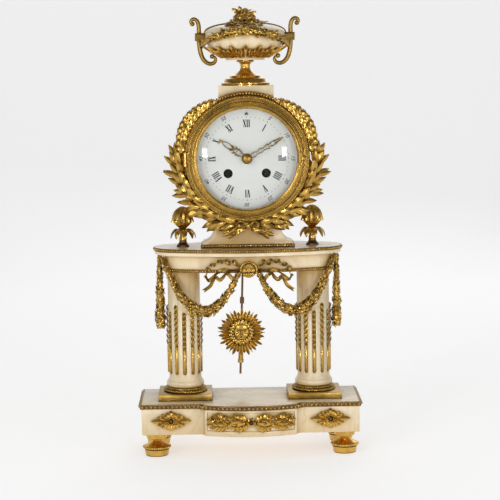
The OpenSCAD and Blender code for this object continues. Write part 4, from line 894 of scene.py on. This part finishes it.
class CLOCK_OT_entablature(bpy.types.Operator):
    """Rounds the slab and models its bead ring and the ropes"""

    bl_idname = "clock.entablature"
    bl_label = "Entablature"

    def execute(self, context):
        foot, top = (corner[2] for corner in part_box("entablature"))
        under = top - 0.0093
        stone = edit(from_cad("entablature"))
        pick(lambda v: abs(v.co.z - under) < 1e-5
             and (v.co.x / 0.0977) ** 2 + ((v.co.y - COLUMN_Y) / 0.042) ** 2 > 1)
        bpy.ops.mesh.bevel(offset=0.0048, segments=6, profile=0.5)
        finish_piece([stone], "entablature_stone", "entablature", 35, "marble", "marble")

        lay = bead_unit(1.8)
        lay.places += strung(oval(SLAB, 0.0010, top - 0.0018), 0.0027, (0.00085, 0.0012, 0.0013), 0.86, 0.5)
        # painted shade: the hoop behind the slab's lays is dark, so the gaps between them read as shade
        finish_piece([from_cad("entablature_bead_ring")], "slab_hoop", "entablature_bead_ring", 60, DARK_BRONZE_AND_SHADE)
        finish_piece([lay], "slab_lays", None, 60)
        line = oval(FRIEZE, 0.0014, foot + 0.0017)
        lay.places += strung(line, 0.0027, (0.00095, 0.0011, 0.0013), 0.8, 0.6)
        half, y0, y1, z = 0.0492 + 0.0012, -0.014 - 0.0014, 0.024, top + 0.0020
        corners = ((-half, y1, z), (-half, y0, z), (half, y0, z), (half, y1, z))
        for line in zip(corners, corners[1:]):
            lay.places += strung(line, 0.0029, (0.0012, 0.0012, 0.0013), 0.75, 0.66)
        # painted shade: the rope core behind the lays is dark, so the gaps between them read as shade
        finish_piece([from_cad("rope_mouldings")], "rope_core", "rope_mouldings", 60, DARK_BRONZE_AND_SHADE)
        finish_piece([lay], "rope_lays", None, 60)
        return done()


def dress(units, chance, skin, way, face, size, aside, sway, ways, shares, bloom, fruit):
    """Lays a leaf, a flower or a fruit on a garland's skin, by chance"""
    leaf, flower, bead = units
    kind = chance.random()
    if kind < shares[0]:
        lean = way * chance.choice(ways) + aside * chance.uniform(-sway, sway)
        leaf.at(skin, lean + face * 0.35, face, size * chance.uniform(1.5, 2.3))
    elif kind < shares[1]:
        flower.at(skin + face * size * 0.15, way, face, size * chance.uniform(*bloom))
    else:
        bead.at(skin + face * size * 0.2, way, face, size * fruit())


def swag_place(side, t):
    """Centre of a garland at t"""
    near = 2.9
    x = lerp(11.0, 92.7 + near - 2, t)
    off = near + 1.8 * min(1, 25 * (1 - t))
    y = oval_front(FRIEZE, off / 1000, x / 1000) * 1000 - 5 * math.sin(math.pi * t)
    return mm(side * x, y, lerp(200.8, 214.6, t) - 47 * 4 * t * (1 - t))


class CLOCK_OT_garlands(bpy.types.Operator):
    """Models the flower garlands and the end drops of the frieze"""

    bl_idname = "clock.garlands"
    bl_label = "Garlands"

    def execute(self, context):
        chance = random.Random(11)
        leaf, flower, bead = leaf_unit(*SPRIG), blossom_unit(), bead_unit()

        def girdle(i, count, p, way, reach, size):
            """A ring of leaves, flowers and fruits round a garland, its sizes in mm"""
            across = way.cross(BACK).normalized()
            front = across.cross(way).normalized()
            for k in range(count):
                turn = math.tau * (k + 0.5 * (i % 2)) / count + chance.uniform(-0.2, 0.2)
                out = blend(turn, front, across)
                dress((leaf, flower, bead), chance, p + out * (reach / 1000), way, out, size / 1000,
                      out.cross(way), 0.9, (-1, 1, 1), (0.62, 0.86), (0.62, 0.85),
                      lambda: chance.uniform(0.38, 0.52))

        swag_rings, drop_rings = 46, 26
        for side in SIDES:
            for i in range(swag_rings + 1):
                t = i / swag_rings
                way = swag_place(side, min(1, t + 0.01)) - swag_place(side, max(0, t - 0.01))
                bulge = math.sin(math.pi * t)
                girdle(i, 9, swag_place(side, t), way.normalized(), 1.7 + 2.1 * bulge, 2.2 + 1.5 * bulge)
            end = Vector((side * 0.0978, COLUMN_Y, 0))
            for i in range(drop_rings + 1):
                t = i / drop_rings
                girdle(i, 8, end + UP * (0.217 - 0.076 * t), -UP, 1.5 + 2.2 * t, 2.0 + 1.5 * t)
            foot = end + UP * 0.1425
            for p, way, out in ring(12, 0, 0):
                leaf.at(foot + out * 0.0026, -UP + out * 0.22, out, (0.0068, 0.0085, 0.0068))
                leaf.at(foot + out * 0.0020 + UP * 0.012, -UP + out * 0.30, out, (0.0085, 0.0085, 0.0068))
            for p, way, out in ring(8, 0, 0):
                flower.at(end + UP * 0.2145 + out * 0.0022, UP, out, 0.0021)
            flower.at(swag_place(side, 1) + FRONT * 0.0022, UP, FRONT, 0.0030)
        finish_piece([from_cad("swags"), leaf, flower, bead], "garlands", "swags", 50)
        return done()


def smooth_way(points, steps):
    """A smooth line of that many steps through a few points"""
    points = [Vector(p) for p in points]
    line = []
    last = len(points) - 1
    for i in range(steps + 1):
        at = last * i / steps
        k = min(int(at), last - 1)
        t = at - k
        a, b, c, d = (points[min(max(k + j, 0), last)] for j in (-1, 0, 1, 2))
        line.append(0.5 * ((2 * b) + (c - a) * t + (2 * a - 5 * b + 4 * c - d) * t * t
                           + (3 * b - a - 3 * c + d) * t ** 3))
    return line


def ribbon(line, turns, width, thick):
    """A ribbon along a line, its face to the front; turns says how far it lies on edge"""
    steps = len(line) - 1
    obj = started(bpy.ops.mesh.primitive_grid_add, x_subdivisions=steps, y_subdivisions=2, size=1)
    for vert in obj.data.vertices:
        i = round((vert.co.x + 0.5) * steps)
        way = (line[min(i + 1, steps)] - line[max(i - 1, 0)]).normalized()
        across = blend(turns(i / steps), way.cross(BACK).normalized(), BACK)
        fork = 1.0 if abs(vert.co.y) > 0.1 else 0.0
        vert.co = (line[i] + across * vert.co.y * width + way * fork * 0.0022 * (i == steps)
                   + across.cross(way) * (1 - fork) * width * 0.14)
    return modify(obj, "SOLIDIFY", thickness=thick, offset=0)


FRIEZE_RIBBONS = (
    (((8, 206, 3.4), (13, 210, 4.2), (17, 214.5, 3.4), (21, 211, 4.4), (25, 215.2, 3.6), (29, 213, 4.6),
      (33, 214.4, 3.6), (37, 210, 4.4), (41, 210.5, 3.6), (45, 207, 3.6), (44, 203, 4.4), (47, 198.5, 5.0)),
     66, lambda t: 0.85 + 0.75 * wave(t, 5.5), 0.0040),
    (((8, 203, 4.6), (13, 199, 5.4), (17, 195.4, 6.0), (21, 199.5, 6.4), (25, 201.0, 5.6), (28, 196.8, 6.0),
      (32, 194.2, 6.6), (36, 197.5, 6.0), (39, 193, 5.6), (42, 187.5, 5.8), (48, 183.0, 6.4)),
     60, lambda t: 0.45 + 0.75 * wave(t, 3.0) * (1 - t), 0.0042),
    (((47, 198.5, 5.0), (44, 193.8, 5.6), (40, 196.0, 6.2), (35, 201, 5.4), (29, 204.5, 4.8),
      (21, 204.0, 4.4), (12, 204.5, 4.0)),
     42, lambda t: 0.5 + 0.6 * wave(t, 2.5), 0.0040),
)
BOW_RIBBONS = (
    (((0, 0, 0), (3.5, -0.8, 3.0), (8.0, -1.0, 4.6), (11.0, 0, 2.2), (9.5, 0.8, -1.4), (5.0, 0.6, -2.0),
      (0, 0.2, 0)), lambda t: 0.9 + 0.5 * wave(t, 1)),
    (((0, 0.3, 0), (4, -0.6, -3.6), (9, 0.4, -4.6), (13, -0.8, -8.2), (19, 0.4, -10.6)),
     lambda t: 0.35 + 0.5 * wave(t, 1.5)),
)


class CLOCK_OT_ribbons(bpy.types.Operator):
    """Models the ribbons and the boss in the middle of the frieze"""

    bl_idname = "clock.ribbons"
    bl_label = "Frieze ribbons and boss"

    def execute(self, context):
        parts = []
        for side in SIDES:
            for points, steps, turns, width in FRIEZE_RIBBONS:
                line = [Vector((side * x / 1000, oval_front(FRIEZE, 0, x / 1000) - off / 1000, z / 1000))
                        for x, z, off in points]
                parts.append(ribbon(smooth_way(line, steps), turns, width, 0.0006))
        finish_piece(parts, "ribbons", "frieze_ribbons", 60, BROWN)

        centre = Vector((0, oval_front(FRIEZE, 0, 0) - 0.0018, 0.2048))
        leaf, bead = leaf_unit(*SPRIG), bead_unit(1.6)
        for i in range(9):
            run = clockwise(-72 + 18 * i)[0]
            leaf.at(centre + run * 0.0022 + FRONT * 0.0040, run - FRONT * 0.10, FRONT,
                    (0.0062, 0.0052, 0.006))
        for k in range(-2, 3):
            bead.at(centre + Vector((0.0024 * k, -0.0044, -0.0042)), (1, 0, 0.1), FRONT,
                    (0.0011, 0.0017, 0.0014))
        line = [centre + FRONT * 0.0032 + clockwise(-100 + 10 * i)[0] * 0.0086 for i in range(21)]
        arch = tube(line, 0.0010)
        finish_piece([from_cad("frieze_rosette"), leaf, bead, arch], "frieze_boss", "frieze_rosette", 50)
        return done()


class CLOCK_OT_finials(bpy.types.Operator):
    """Models the leaf collars and fluted buds over the columns"""

    bl_idname = "clock.finials"
    bl_label = "Finials"

    def execute(self, context):
        collar, scale = leaf_unit(*COLLAR), leaf_unit(*BUD_LEAF)
        lobes = 14
        buds = []
        for side in SIDES:
            axis = Vector((side * COLUMN_X, COLUMN_Y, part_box("finial_feet")[1][2]))
            bud = turned(BUD, lobes * 6, Matrix())
            for vert in bud.data.vertices:
                if vert.co.z > 0.0130:
                    vert.co.xy *= 1 + 0.07 * math.cos(lobes * math.atan2(vert.co.y, vert.co.x))
            bud.data.transform(Matrix.Translation(axis))
            buds.append(bud)
            for p, way, out in ring(9, 0, 0):
                collar.at(axis + UP * 0.0092, out, UP, 0.001)
            for p, way, out in ring(lobes, 0, 0):
                scale.at(axis + UP * 0.0366, -UP, out, 0.001)
        finish_piece(buds + [collar, scale], "finial_buds", "finials")
        return done()


class CLOCK_OT_bezel(bpy.types.Operator):
    """Models the bead rings of the bezel and the crest over it"""

    bl_idname = "clock.bezel"
    bl_label = "Bezel rings and crest"

    def execute(self, context):
        bead, leaf, flower = bead_unit(), leaf_unit(*ACANTHUS), blossom_unit()
        bead.places += row(dial_ring(170, 0.0663, -0.0294), (0.0011, 0.00095, 0.0008), FRONT)
        finish_piece([bead], "frame_beads", None, 60)
        bead.places += row(dial_ring(176, 0.0607, -0.0332), (0.00095, 0.0008, 0.0007), FRONT, 0.7)
        bead.places += row(dial_ring(180, 0.0546, -0.0354), (0.00085, 0.0007, 0.0006), FRONT, -0.9)
        parts = [bead]
        for r, y, thick in ((0.0626, -0.0311, 0.00055), (0.0591, -0.0351, 0.0006),
                            (0.0566, -0.0364, 0.0010), (0.0641, -0.0299, 0.0004)):
            parts.append(tube([p for p, way, out in dial_ring(120, r, y)], thick, closed=True))
        finish_piece(parts, "door_rings", None, 60, body="bezel")

        pearls, coils = 25, 30
        curls = []
        for i in range(pearls):
            out, way = clockwise(-33 + 66 * (i + 0.5) / pearls)
            bead.at(dial_axis(-0.0240) + out * 0.0704, way, FRONT + out * 0.3, (0.00142, 0.0028, 0.0026))
        for side in SIDES:
            for i in range(11):
                out, way = clockwise(side * (27 + 4.9 * i))
                way *= side
                lift = 6.5 * math.sin(math.pi * i / 11)
                for share, lean, size in ((0.0, 0.02, 11.5), (0.5, 0.22, 12.5), (1.0, 0.42, 11.5)):
                    at = dial_axis(-0.0243) + out * (69.4 + lift * share) / 1000
                    leaf.at(at + FRONT * 0.0016 * share, way + out * lean + FRONT * 0.08,
                            FRONT + out * lean, (size / 1000, 0.0150, 0.0130))
                leaf.at(at - FRONT * 0.002, way + out * 0.20, out, (0.0110, 0.0140, 0.0110))
                if i % 3 == 1:
                    flower.at(at + FRONT * 0.0040, way, FRONT, 0.0032)
            for turn, far in ((54, 0.0775), (70, 0.0762), (78, 0.0715)):
                out, way = clockwise(side * turn)
                line = []
                for k in range(coils):
                    coil = blend(0.42 * k, way * side, out) * (0.0036 - 0.00011 * k)
                    line.append(dial_axis(-0.0262) + out * far + coil + FRONT * 0.00004 * k)
                curls.append(tube(line, 0.00105, [1 - 0.015 * k for k in range(coils)], 1))
        finish_piece([bead, leaf, flower] + curls, "crest", "crest_garland")
        return done()


def stem_place(side, t):
    """Centre of a laurel stem at t"""
    out = clockwise(180 - side * (6 + 84 * t))[0]
    return dial_axis(-0.0190) + out * (70.2 + 4.8 * t * t) / 1000


def stem_frame(side, t, ahead):
    """Place of a laurel stem at t, the way it grows and the way out from the dial"""
    at = stem_place(side, t)
    way = (stem_place(side, t + ahead) - at).normalized() * math.copysign(1, ahead)
    return at, way, Vector((at.x, 0, at.z - DIAL_Z)).normalized()


class CLOCK_OT_laurel(bpy.types.Operator):
    """Models the laurel branches round the drum and their bow"""

    bl_idname = "clock.laurel"
    bl_label = "Laurel and bow"

    def execute(self, context):
        chance = random.Random(5)
        leaf, berry = leaf_unit(*LAUREL), bead_unit()
        stems = []
        length = sizes().leaf
        cross = dial_axis(-0.0262) - UP * 0.0722
        clusters = 10
        for side in SIDES:
            line = [stem_place(side, i / 40) + FRONT * 0.001 for i in range(41)]
            foot = cross - Vector((side * 0.027, 0, 0.0103))
            stems.append(tube(smooth_way([foot, cross, line[0], line[2]], 16) + line[3:], 0.0016,
                              [1.0] * 17 + [lerp(1.0, 0.6, i / 38) for i in range(38)]))
            for i in range(clusters):
                t = (i + 0.2) / clusters
                at, way, out = stem_frame(side, t, 0.02)
                grow = length * lerp(1.12, 0.95, t)
                for splay, ahead, lift in ((46, 0.10, 0.001), (22, 0.34, 0.0032), (-6, 0.52, 0.0048),
                                           (62, -0.10, 0.0026), (-24, 0.05, -0.001)):
                    if splay == 62 and i % 2:
                        continue
                    run = blend(math.radians(splay + chance.uniform(-7, 7)), way, out)
                    leaf.at(at + FRONT * (0.0015 + lift), run + FRONT * ahead * 0.5,
                            FRONT + out * chance.uniform(-0.35, 0.35),
                            (grow * chance.uniform(0.93, 1.06), grow, length))
                for k in range(2):
                    berry.at(at + out * (0.002 + 0.004 * k) + FRONT * 0.0058
                             + way * chance.uniform(0.001, 0.006), way, FRONT, 0.00135)
            at, way, out = stem_frame(side, 1, -0.02)
            for splay in (-16, 4, 26):
                leaf.at(at + FRONT * 0.003, blend(math.radians(splay), way, out), FRONT,
                        (length * 0.92, length * 0.9, length))
        finish_piece(stems + [leaf, berry], "laurel", "laurel_branches")

        knot = cross + FRONT * 0.005
        berry.at(knot + FRONT * 0.0006, RIGHT, FRONT, (0.0026, 0.0030, 0.0024))
        parts = [berry]
        for side in SIDES:
            for points, turns in BOW_RIBBONS:
                line = [knot + mm(side * x, y, z) for x, y, z in points]
                parts.append(ribbon(smooth_way(line, 30), turns, 0.0036, 0.0005))
        finish_piece(parts, "laurel_bow", "wreath_bow", 50)
        return done()


NUMERALS = ("XII", "I", "II", "III", "IIII", "V", "VI", "VII", "VIII", "IX", "X", "XI")
LETTER_WIDTH = {"I": 2.1, "V": 3.5, "X": 3.6}


def inked(operator, **values):
    """A stamp of paint with a little height"""
    stamp = edit(started(operator, **values))
    extrude((0, 0, 0.00006))
    rest()
    return Unit(stamp)


class CLOCK_OT_dial(bpy.types.Operator):
    """Paints the numerals, the minute ring and the small ornament on the dial"""

    bl_idname = "clock.dial"
    bl_label = "Dial painting"

    def execute(self, context):
        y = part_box("dial")[0][1] - 0.00004
        half = sizes().stroke * 500
        stroke = inked(bpy.ops.mesh.primitive_plane_add, size=1)
        dot = inked(bpy.ops.mesh.primitive_circle_add, vertices=12, radius=1, fill_type="NGON")
        leaf = leaf_unit(*SPRIG)
        for hour, text in enumerate(NUMERALS):
            v, u = clockwise(30 * hour)

            def draw(x0, y0, x1, y1, wide):
                p, q = (dial_axis(y) + v * 0.0380 + (u * a + v * b) / 1000 for a, b in ((x0, y0), (x1, y1)))
                stroke.at((p + q) / 2, q - p, FRONT, ((q - p).length, wide / 1000, 1))

            at = -sum(LETTER_WIDTH[c] for c in text) / 2
            for letter in text:
                x0, x1 = at + 0.35, at + LETTER_WIDTH[letter] - 0.35
                mid = (x0 + x1) / 2
                if letter == "I":
                    draw(mid, -half, mid, half, 1.25)
                elif letter == "V":
                    draw(x0 + 0.2, half, mid, -half, 1.30)
                    draw(x1 - 0.1, half, mid + 0.1, -half, 0.48)
                else:
                    draw(x0 + 0.2, half, x1 - 0.2, -half, 1.30)
                    draw(x1 - 0.1, half, x0 + 0.1, -half, 0.48)
                draw(x0, half, x1, half, 0.26)
                draw(x0, -half, x1, -half, 0.26)
                at += LETTER_WIDTH[letter]
        for i, (p, way, out) in enumerate(dial_ring(60, 0.0450, y)):
            dot.at(p, way, FRONT, (0.00042, 0.00042, 1) if i % 5 else (0.00056, 0.00056, 1))
        for turn, long in ((0, 0.0034), (42, 0.0032), (-42, 0.0032), (96, 0.0026), (-96, 0.0026)):
            leaf.at((0, y, DIAL_Z + 0.0476), clockwise(turn)[0], FRONT, (long, 0.0024, 0.0001))
        parts = [stroke, dot, leaf]
        for five in range(1, 12):
            mark = started(bpy.ops.object.text_add)
            put(mark.data, body=str(five * 5), size=0.0056, shear=0.25, offset=0.00006, align_x="CENTER",
                align_y="CENTER", extrude=0.00003)
            use(mark)
            bpy.ops.object.convert(target="MESH")
            out, way = clockwise(30 * five)
            parts.append(bpy.context.active_object)
            parts[-1].data.transform(stand(dial_axis(y) + out * 0.0497, way, FRONT, 1.0))
        finish_piece(parts, "dial_numerals", None, 30, "ink", "enamel")
        return done()


def hand_parts(turn, y, stem, bars, spear, feathers, high, wide):
    """Parts of a pierced hand: two mirrored stems, bars between them, leaves, a spear and a hub"""
    v, u = clockwise(turn)

    def place(far, side):
        return dial_axis(y) + v * far / 1000 + u * side / 1000

    leaf = leaf_unit(*SPRIG)
    parts = [tube(smooth_way([place(f, side * w) for f, w in stem], 44), 0.00052, None, 1) for side in SIDES]
    parts += [tube([place(far, -half), place(far, half)], 0.0003, None, 1) for far, half in bars]
    leaf.at(place(spear[0], 0), v, FRONT, ((spear[1] - spear[0]) / 1000, 0.0062, 0.004))
    for far, half, long in feathers:
        for side in SIDES:
            leaf.at(place(far, side * half), v * 0.8 + u * side * 0.62, FRONT,
                    (long / 1000, long / 1000, 0.004))
    hub = ((0.1, high), (wide * 0.5, high * 0.97), (wide * 0.8, high * 0.7), (wide, high * 0.3),
           (wide, -0.3), (0.1, -0.3))
    return parts + [leaf, turned(hub, 40, stand(dial_axis(y), RIGHT, FRONT, 1.0))]


HOUR_HAND = (
    305, -0.0262,
    ((4, 1.0), (8, 2.0), (12, 3.0), (16, 1.6), (19, 0.5), (22, 2.0), (26, 2.6), (30, 1.6), (32.5, 0.2)),
    ((9, 2.2), (13.5, 2.6), (17, 1.2)), (31.0, 37.0),
    ((8, 1.8, 3.6), (11, 2.4, 3.6), (14.5, 2.2, 3.8), (18, 1.0, 3.8), (20, 1.2, 3.2)), 0.6, 5.0)
MINUTE_HAND = (
    60, -0.0280,
    ((4, 0.9), (9, 2.5), (13, 1.4), (17, 2.3), (21, 1.3), (25, 2.1), (29, 1.2), (33, 2.2), (37, 1.6),
     (40.5, 0.2)),
    ((9, 2.4), (12, 1.6), (15, 1.8), (18, 2.1), (21, 1.3), (24, 1.9), (27, 1.6)), (39.0, 45.0),
    ((25, 1.6, 3.0), (29, 1.0, 3.0)), 3.2, 5.8)


class CLOCK_OT_hands(bpy.types.Operator):
    """Models the two pierced hands"""

    bl_idname = "clock.hands"
    bl_label = "Hands"

    def execute(self, context):
        for shape, kind in ((HOUR_HAND, "hour"), (MINUTE_HAND, "minute")):
            finish_piece(hand_parts(*shape), kind + "_hand_pierced", kind + "_hand", look=BROWN,
                         body=kind + "_motion")
        return done()


MASK = (((0, -5.8, 0), (7.6, 2.6, 9.2)), ((0, -7.0, 4.2), (5.8, 1.9, 4.4)),
        ((0, -9.2, 0.2), (0.9, 1.3, 3.0)), ((0, -9.9, -2.2), (1.4, 1.1, 1.0)),
        ((2.9, -8.6, 2.5), (2.4, 0.9, 0.55)), ((2.9, -7.9, 0.9), (1.4, 0.8, 0.7)),
        ((4.1, -7.3, -2.4), (2.3, 1.2, 2.3)), ((0, -8.9, -4.5), (2.0, 0.8, 0.45)),
        ((0, -8.8, -5.5), (1.6, 0.8, 0.5)), ((0, -7.8, -7.6), (2.2, 1.2, 1.5)))
MASK_SCALE = Matrix.Diagonal((0.00122, 0.001, 0.00122, 1))


class CLOCK_OT_pendulum(bpy.types.Operator):
    """Models the sunburst bob with a calm mask of no one in particular"""

    bl_idname = "clock.pendulum"
    bl_label = "Sunburst bob"

    def execute(self, context):
        hang, length, pivot, y, hub = math.radians(2), 0.2354, 0.363, 0.0305, 0.0075
        place = (Matrix.Translation((-length * math.sin(hang), y, pivot - length * math.cos(hang)))
                 @ Matrix.Rotation(hang, 4, "Y"))
        ray, lock = leaf_unit(*RAY), leaf_unit(*SPRIG)
        for i in range(36):
            out = clockwise(10 * i)[0]
            far = (27.4, 24.0, 26.2, 23.2)[i % 4] / 1000
            ray.at(out * hub + FRONT * 0.0062, out - FRONT * 0.02, FRONT, (far - hub, 0.0185, 0.0185))
        lumps = []
        for (x, depth, z), radii in MASK:
            for side in (1, -1) if x else (1,):
                lump = started(bpy.ops.mesh.primitive_uv_sphere_add, segments=24, ring_count=14, radius=1)
                at = Matrix.Translation((side * x, depth, z))
                lump.data.transform(MASK_SCALE @ at @ Matrix.Diagonal((*radii, 1)))
                lumps.append(lump)
        face = modify(join(lumps), "REMESH", mode="VOXEL", voxel_size=0.00026)
        modify(face, "SMOOTH", factor=0.5, iterations=4)
        for i in range(20):
            out, way = clockwise(18 * (i + 0.5))
            for far, depth, sway in ((8.4, 7.6, 0.5), (10.0, 7.2, -0.4)):
                lock.at((out * far + FRONT * depth) / 1000, out + way * sway, FRONT,
                        (0.0062, 0.0064, 0.0060))
        front = [ray.copies(), face, lock.copies()]
        for part in front:
            part.data.transform(place)
        core = edit(from_cad("pendulum_bob"))
        bpy.ops.mesh.bisect(plane_co=(0, y - 0.0058, 0), plane_no=FRONT, use_fill=True, clear_outer=True)
        finish_piece([core] + front, "sunburst", "pendulum_bob", body="pendulum")
        return done()


HANDLE = ((36, -25.5), (33, -27), (32.3, -29.8), (34.2, -32.6), (38.5, -33.6), (43, -31.6),
          (46.6, -27), (48.8, -20), (49.8, -12), (50, -4), (50, 2), (50.2, 8), (51.6, 12.6),
          (54.6, 15), (57.6, 14.2), (58.8, 11.6), (57, 9.8))
URN_LEAVES = ((0.44, (1.6, 2.2, 2.6, 2.7, 2.3, 1.4, 0.1), 0.0014, (0,)),
              (0.28, (1.7, 2.2, 2.6, 2.6, 2.0, 1.2, 0.1), 0.0011, (-7.2, 7.2)),
              (0.24, (4.2, 5.0, 5.6, 5.8, 5.0, 3.0, 0.1), 0.0002, (11.25,)))
URN_FLARE = (0, 0, 0, 0.0003, 0.0008, 0.0016, 0.0027)


class CLOCK_OT_urn(bpy.types.Operator):
    """Models the leaves, garland, handles and bouquet of the urn"""

    bl_idname = "clock.urn"
    bl_label = "Urn mounts"

    def execute(self, context):
        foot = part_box("urn_foot")[0][2]
        bowl, rim = (corner[2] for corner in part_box("urn_bowl"))
        axis = Vector((0, COLUMN_Y, 0))
        bead, leaf, flower, broad = bead_unit(), leaf_unit(*SPRIG), blossom_unit(), leaf_unit(*ACANTHUS)
        bead.places += row(ring(88, 0.0258, foot + 0.0014, axis.xy), 0.0009)
        bead.places += row(ring(40, 0.0090, foot + 0.0263, axis.xy), 0.0007)
        finish_piece([bead], "urn_foot_beads", None, 60)

        leaflets = []
        for tall, halves, rise, turns in URN_LEAVES:
            rows = []
            for i, half in enumerate(halves):
                s = tall * i / 6
                wall = lerp(24, 43.5, math.sin(math.pi / 2 * min(1, s / 0.72))) / 1000
                height = bowl + 0.004 + (rim - bowl - 0.004) * s
                rows.append((wall + rise + URN_FLARE[i], half / 1000, height - 0.0004))
            leaflets.append(leaf_unit(rows, (0.0009, 0, -0.0009), (-0.0003, 0, 0.0003), 0.0008))
            for i in range(16):
                for turn in turns:
                    leaflets[-1].at(axis, around(22.5 * i + turn), UP, 1.0)
        finish_piece(leaflets, "urn_leaf_cup", "urn_acanthus", look=LIT_GILT)

        chance = random.Random(23)
        rings = 58
        for i in range(rings + 1):
            t = 2 * i / rings - 1
            out = around(-90 + 82 * t)
            at = axis + out * lerp(0.0482, 0.0466, abs(t)) + UP * (rim + 0.001 - 0.015 * abs(t) ** 1.4)
            for k in range(6):
                turn = math.radians(-100 + 40 * k + 20 * (i % 2)) + chance.uniform(-0.2, 0.2)
                face = blend(turn, out, UP)
                dress((leaf, flower, bead), chance, at + face * lerp(0.0032, 0.0016, abs(t)),
                      UP.cross(out), face, lerp(0.0036, 0.0022, abs(t)), UP, 0.8, (-1, 1), (0.42, 0.88),
                      (0.65, 0.95), lambda: 0.45)
        finish_piece([from_cad("urn_garland"), leaf, flower, bead], "urn_wreath", "urn_garland", 50)

        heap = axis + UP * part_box("urn_lid")[1][2]
        ball = 24
        for i in range(ball):
            high = 1 - 1.25 * (i + 0.5) / ball
            face = blend(2.4 * i, RIGHT, BACK) * math.sqrt(1 - high * high) + UP * high
            flower.at(heap + UP * 0.0058 + face * 0.0082, face.orthogonal(), face,
                      chance.uniform(0.0036, 0.0046))
        for i, (p, way, out) in enumerate(ring(14, 0, 0)):
            flower.at(heap + out * 0.0118 + UP * 0.0016, UP, out + UP * 0.5, 0.0048)
            flower.at(heap + out * 0.0160 + UP * 0.0002, UP, out * 0.7 + UP, 0.0044)
            if i % 2:
                broad.at(heap + out * 0.0140, out + UP * chance.uniform(-0.2, 0.2), UP + out * 0.5,
                         chance.uniform(0.0085, 0.0105))
        for x, y, z, long in ((-5, -4, 9.5, 11.0), (-2, -5, 10.0, 9.5), (5, -4, 9.5, 8.5)):
            lean = Vector((x * 1.6, -1.0, 6.0 if x < 0 else 3.0))
            broad.at(heap + mm(x, y, z), lean, FRONT + UP * 0.3, long / 1000)
        for i in range(44):
            x = chance.uniform(-19, 19)
            y = -chance.uniform(9, 36) if i < 34 else chance.uniform(9, 16)
            high = 10 * math.sqrt(1 - (x * x + y * y) / 43.5 ** 2)
            face = Vector((x * 0.4, -14 if y < 0 else 8, 22)).normalized()
            at = axis + UP * rim + mm(x, y, high) + face * 0.0012
            if i % 3:
                flower.at(at, face.orthogonal(), face, chance.uniform(0.0034, 0.0046))
            else:
                lean = Vector((x, y, chance.uniform(2, 9)))
                broad.at(at, lean, face, chance.uniform(0.0075, 0.0100))
        finish_piece([from_cad("urn_bouquet"), flower, broad], "urn_posy", "urn_bouquet")

        parts = []
        steps, lid_half, lid_high, proud = 80, 0.0408, 0.010, 0.0009
        swell = [0.75 + 0.5 * math.sin(math.pi * i / steps) for i in range(steps + 1)]
        for side in SIDES:
            line = smooth_way([axis + UP * rim + mm(side * x, 0, z) for x, z in HANDLE], steps)
            parts.append(tube(line, 0.0021, swell, 3))
            for end in (line[0], line[-1]):
                bead.at(end, RIGHT, FRONT, 0.0027)
            strap = []
            for i in range(20):
                turn = math.radians(70 * i / 19)
                x, z = lid_half * math.cos(turn) + 0.0027, lid_high * math.sin(turn)
                lean = blend(turn, RIGHT * lid_high, UP * lid_half).normalized() * proud
                strap.append(axis + Vector((side * (x + lean.x), 0, rim + z + lean.z)))
            parts.append(ribbon([strap[0] - UP * 0.002] + strap, lambda t: math.pi / 2, 0.0026, 0.0012))
            block = edit(started(bpy.ops.mesh.primitive_cube_add, size=1))
            resize((0.0104, 0.0078, 0.0078))
            bpy.ops.mesh.bevel(offset=0.0006, segments=2)
            edit(block, "FACE")
            for thickness, depth in ((0.0009, 0.0), (0.0003, -0.0006)):
                bpy.ops.mesh.inset(thickness=thickness, depth=depth, use_individual=True)
            rest()
            block.data.transform(Matrix.Translation(axis + Vector((side * 0.0488, 0, rim - 0.0045))))
            parts.append(block)
        finish_piece(parts + [bead], "urn_scrolls", "urn_handles", look=BROWN)
        return done()


class CLOCK_PT_panel(bpy.types.Panel):
    """Lists the modelling steps"""

    bl_idname = "CLOCK_PT_panel"
    bl_label = "Portico Clock"
    bl_space_type = "VIEW_3D"
    bl_region_type = "UI"
    bl_category = "Clock"

    def draw(self, context):
        for step in STEPS:
            self.layout.operator(step.bl_idname)


STEPS = (
    CLOCK_OT_stage, CLOCK_OT_finishes, CLOCK_OT_stonework, CLOCK_OT_base_trim, CLOCK_OT_base_mounts,
    CLOCK_OT_columns, CLOCK_OT_entablature, CLOCK_OT_garlands, CLOCK_OT_ribbons, CLOCK_OT_finials,
    CLOCK_OT_bezel, CLOCK_OT_laurel, CLOCK_OT_dial, CLOCK_OT_hands, CLOCK_OT_pendulum, CLOCK_OT_urn,
)
CLASSES = (ClockSizes, ClockColours) + STEPS + (CLOCK_PT_panel,)


def register():
    for one in CLASSES:
        bpy.utils.register_class(one)
    bpy.types.Scene.clock_sizes = bpy.props.PointerProperty(type=ClockSizes)
    bpy.types.Scene.clock_colours = bpy.props.PointerProperty(type=ClockColours)


def unregister():
    del bpy.types.Scene.clock_colours
    del bpy.types.Scene.clock_sizes
    for one in reversed(CLASSES):
        bpy.utils.unregister_class(one)


def main():
    register()
    for step in STEPS:
        getattr(bpy.ops.clock, step.bl_idname.split(".")[1])()


if __name__ == "__main__":
    main()
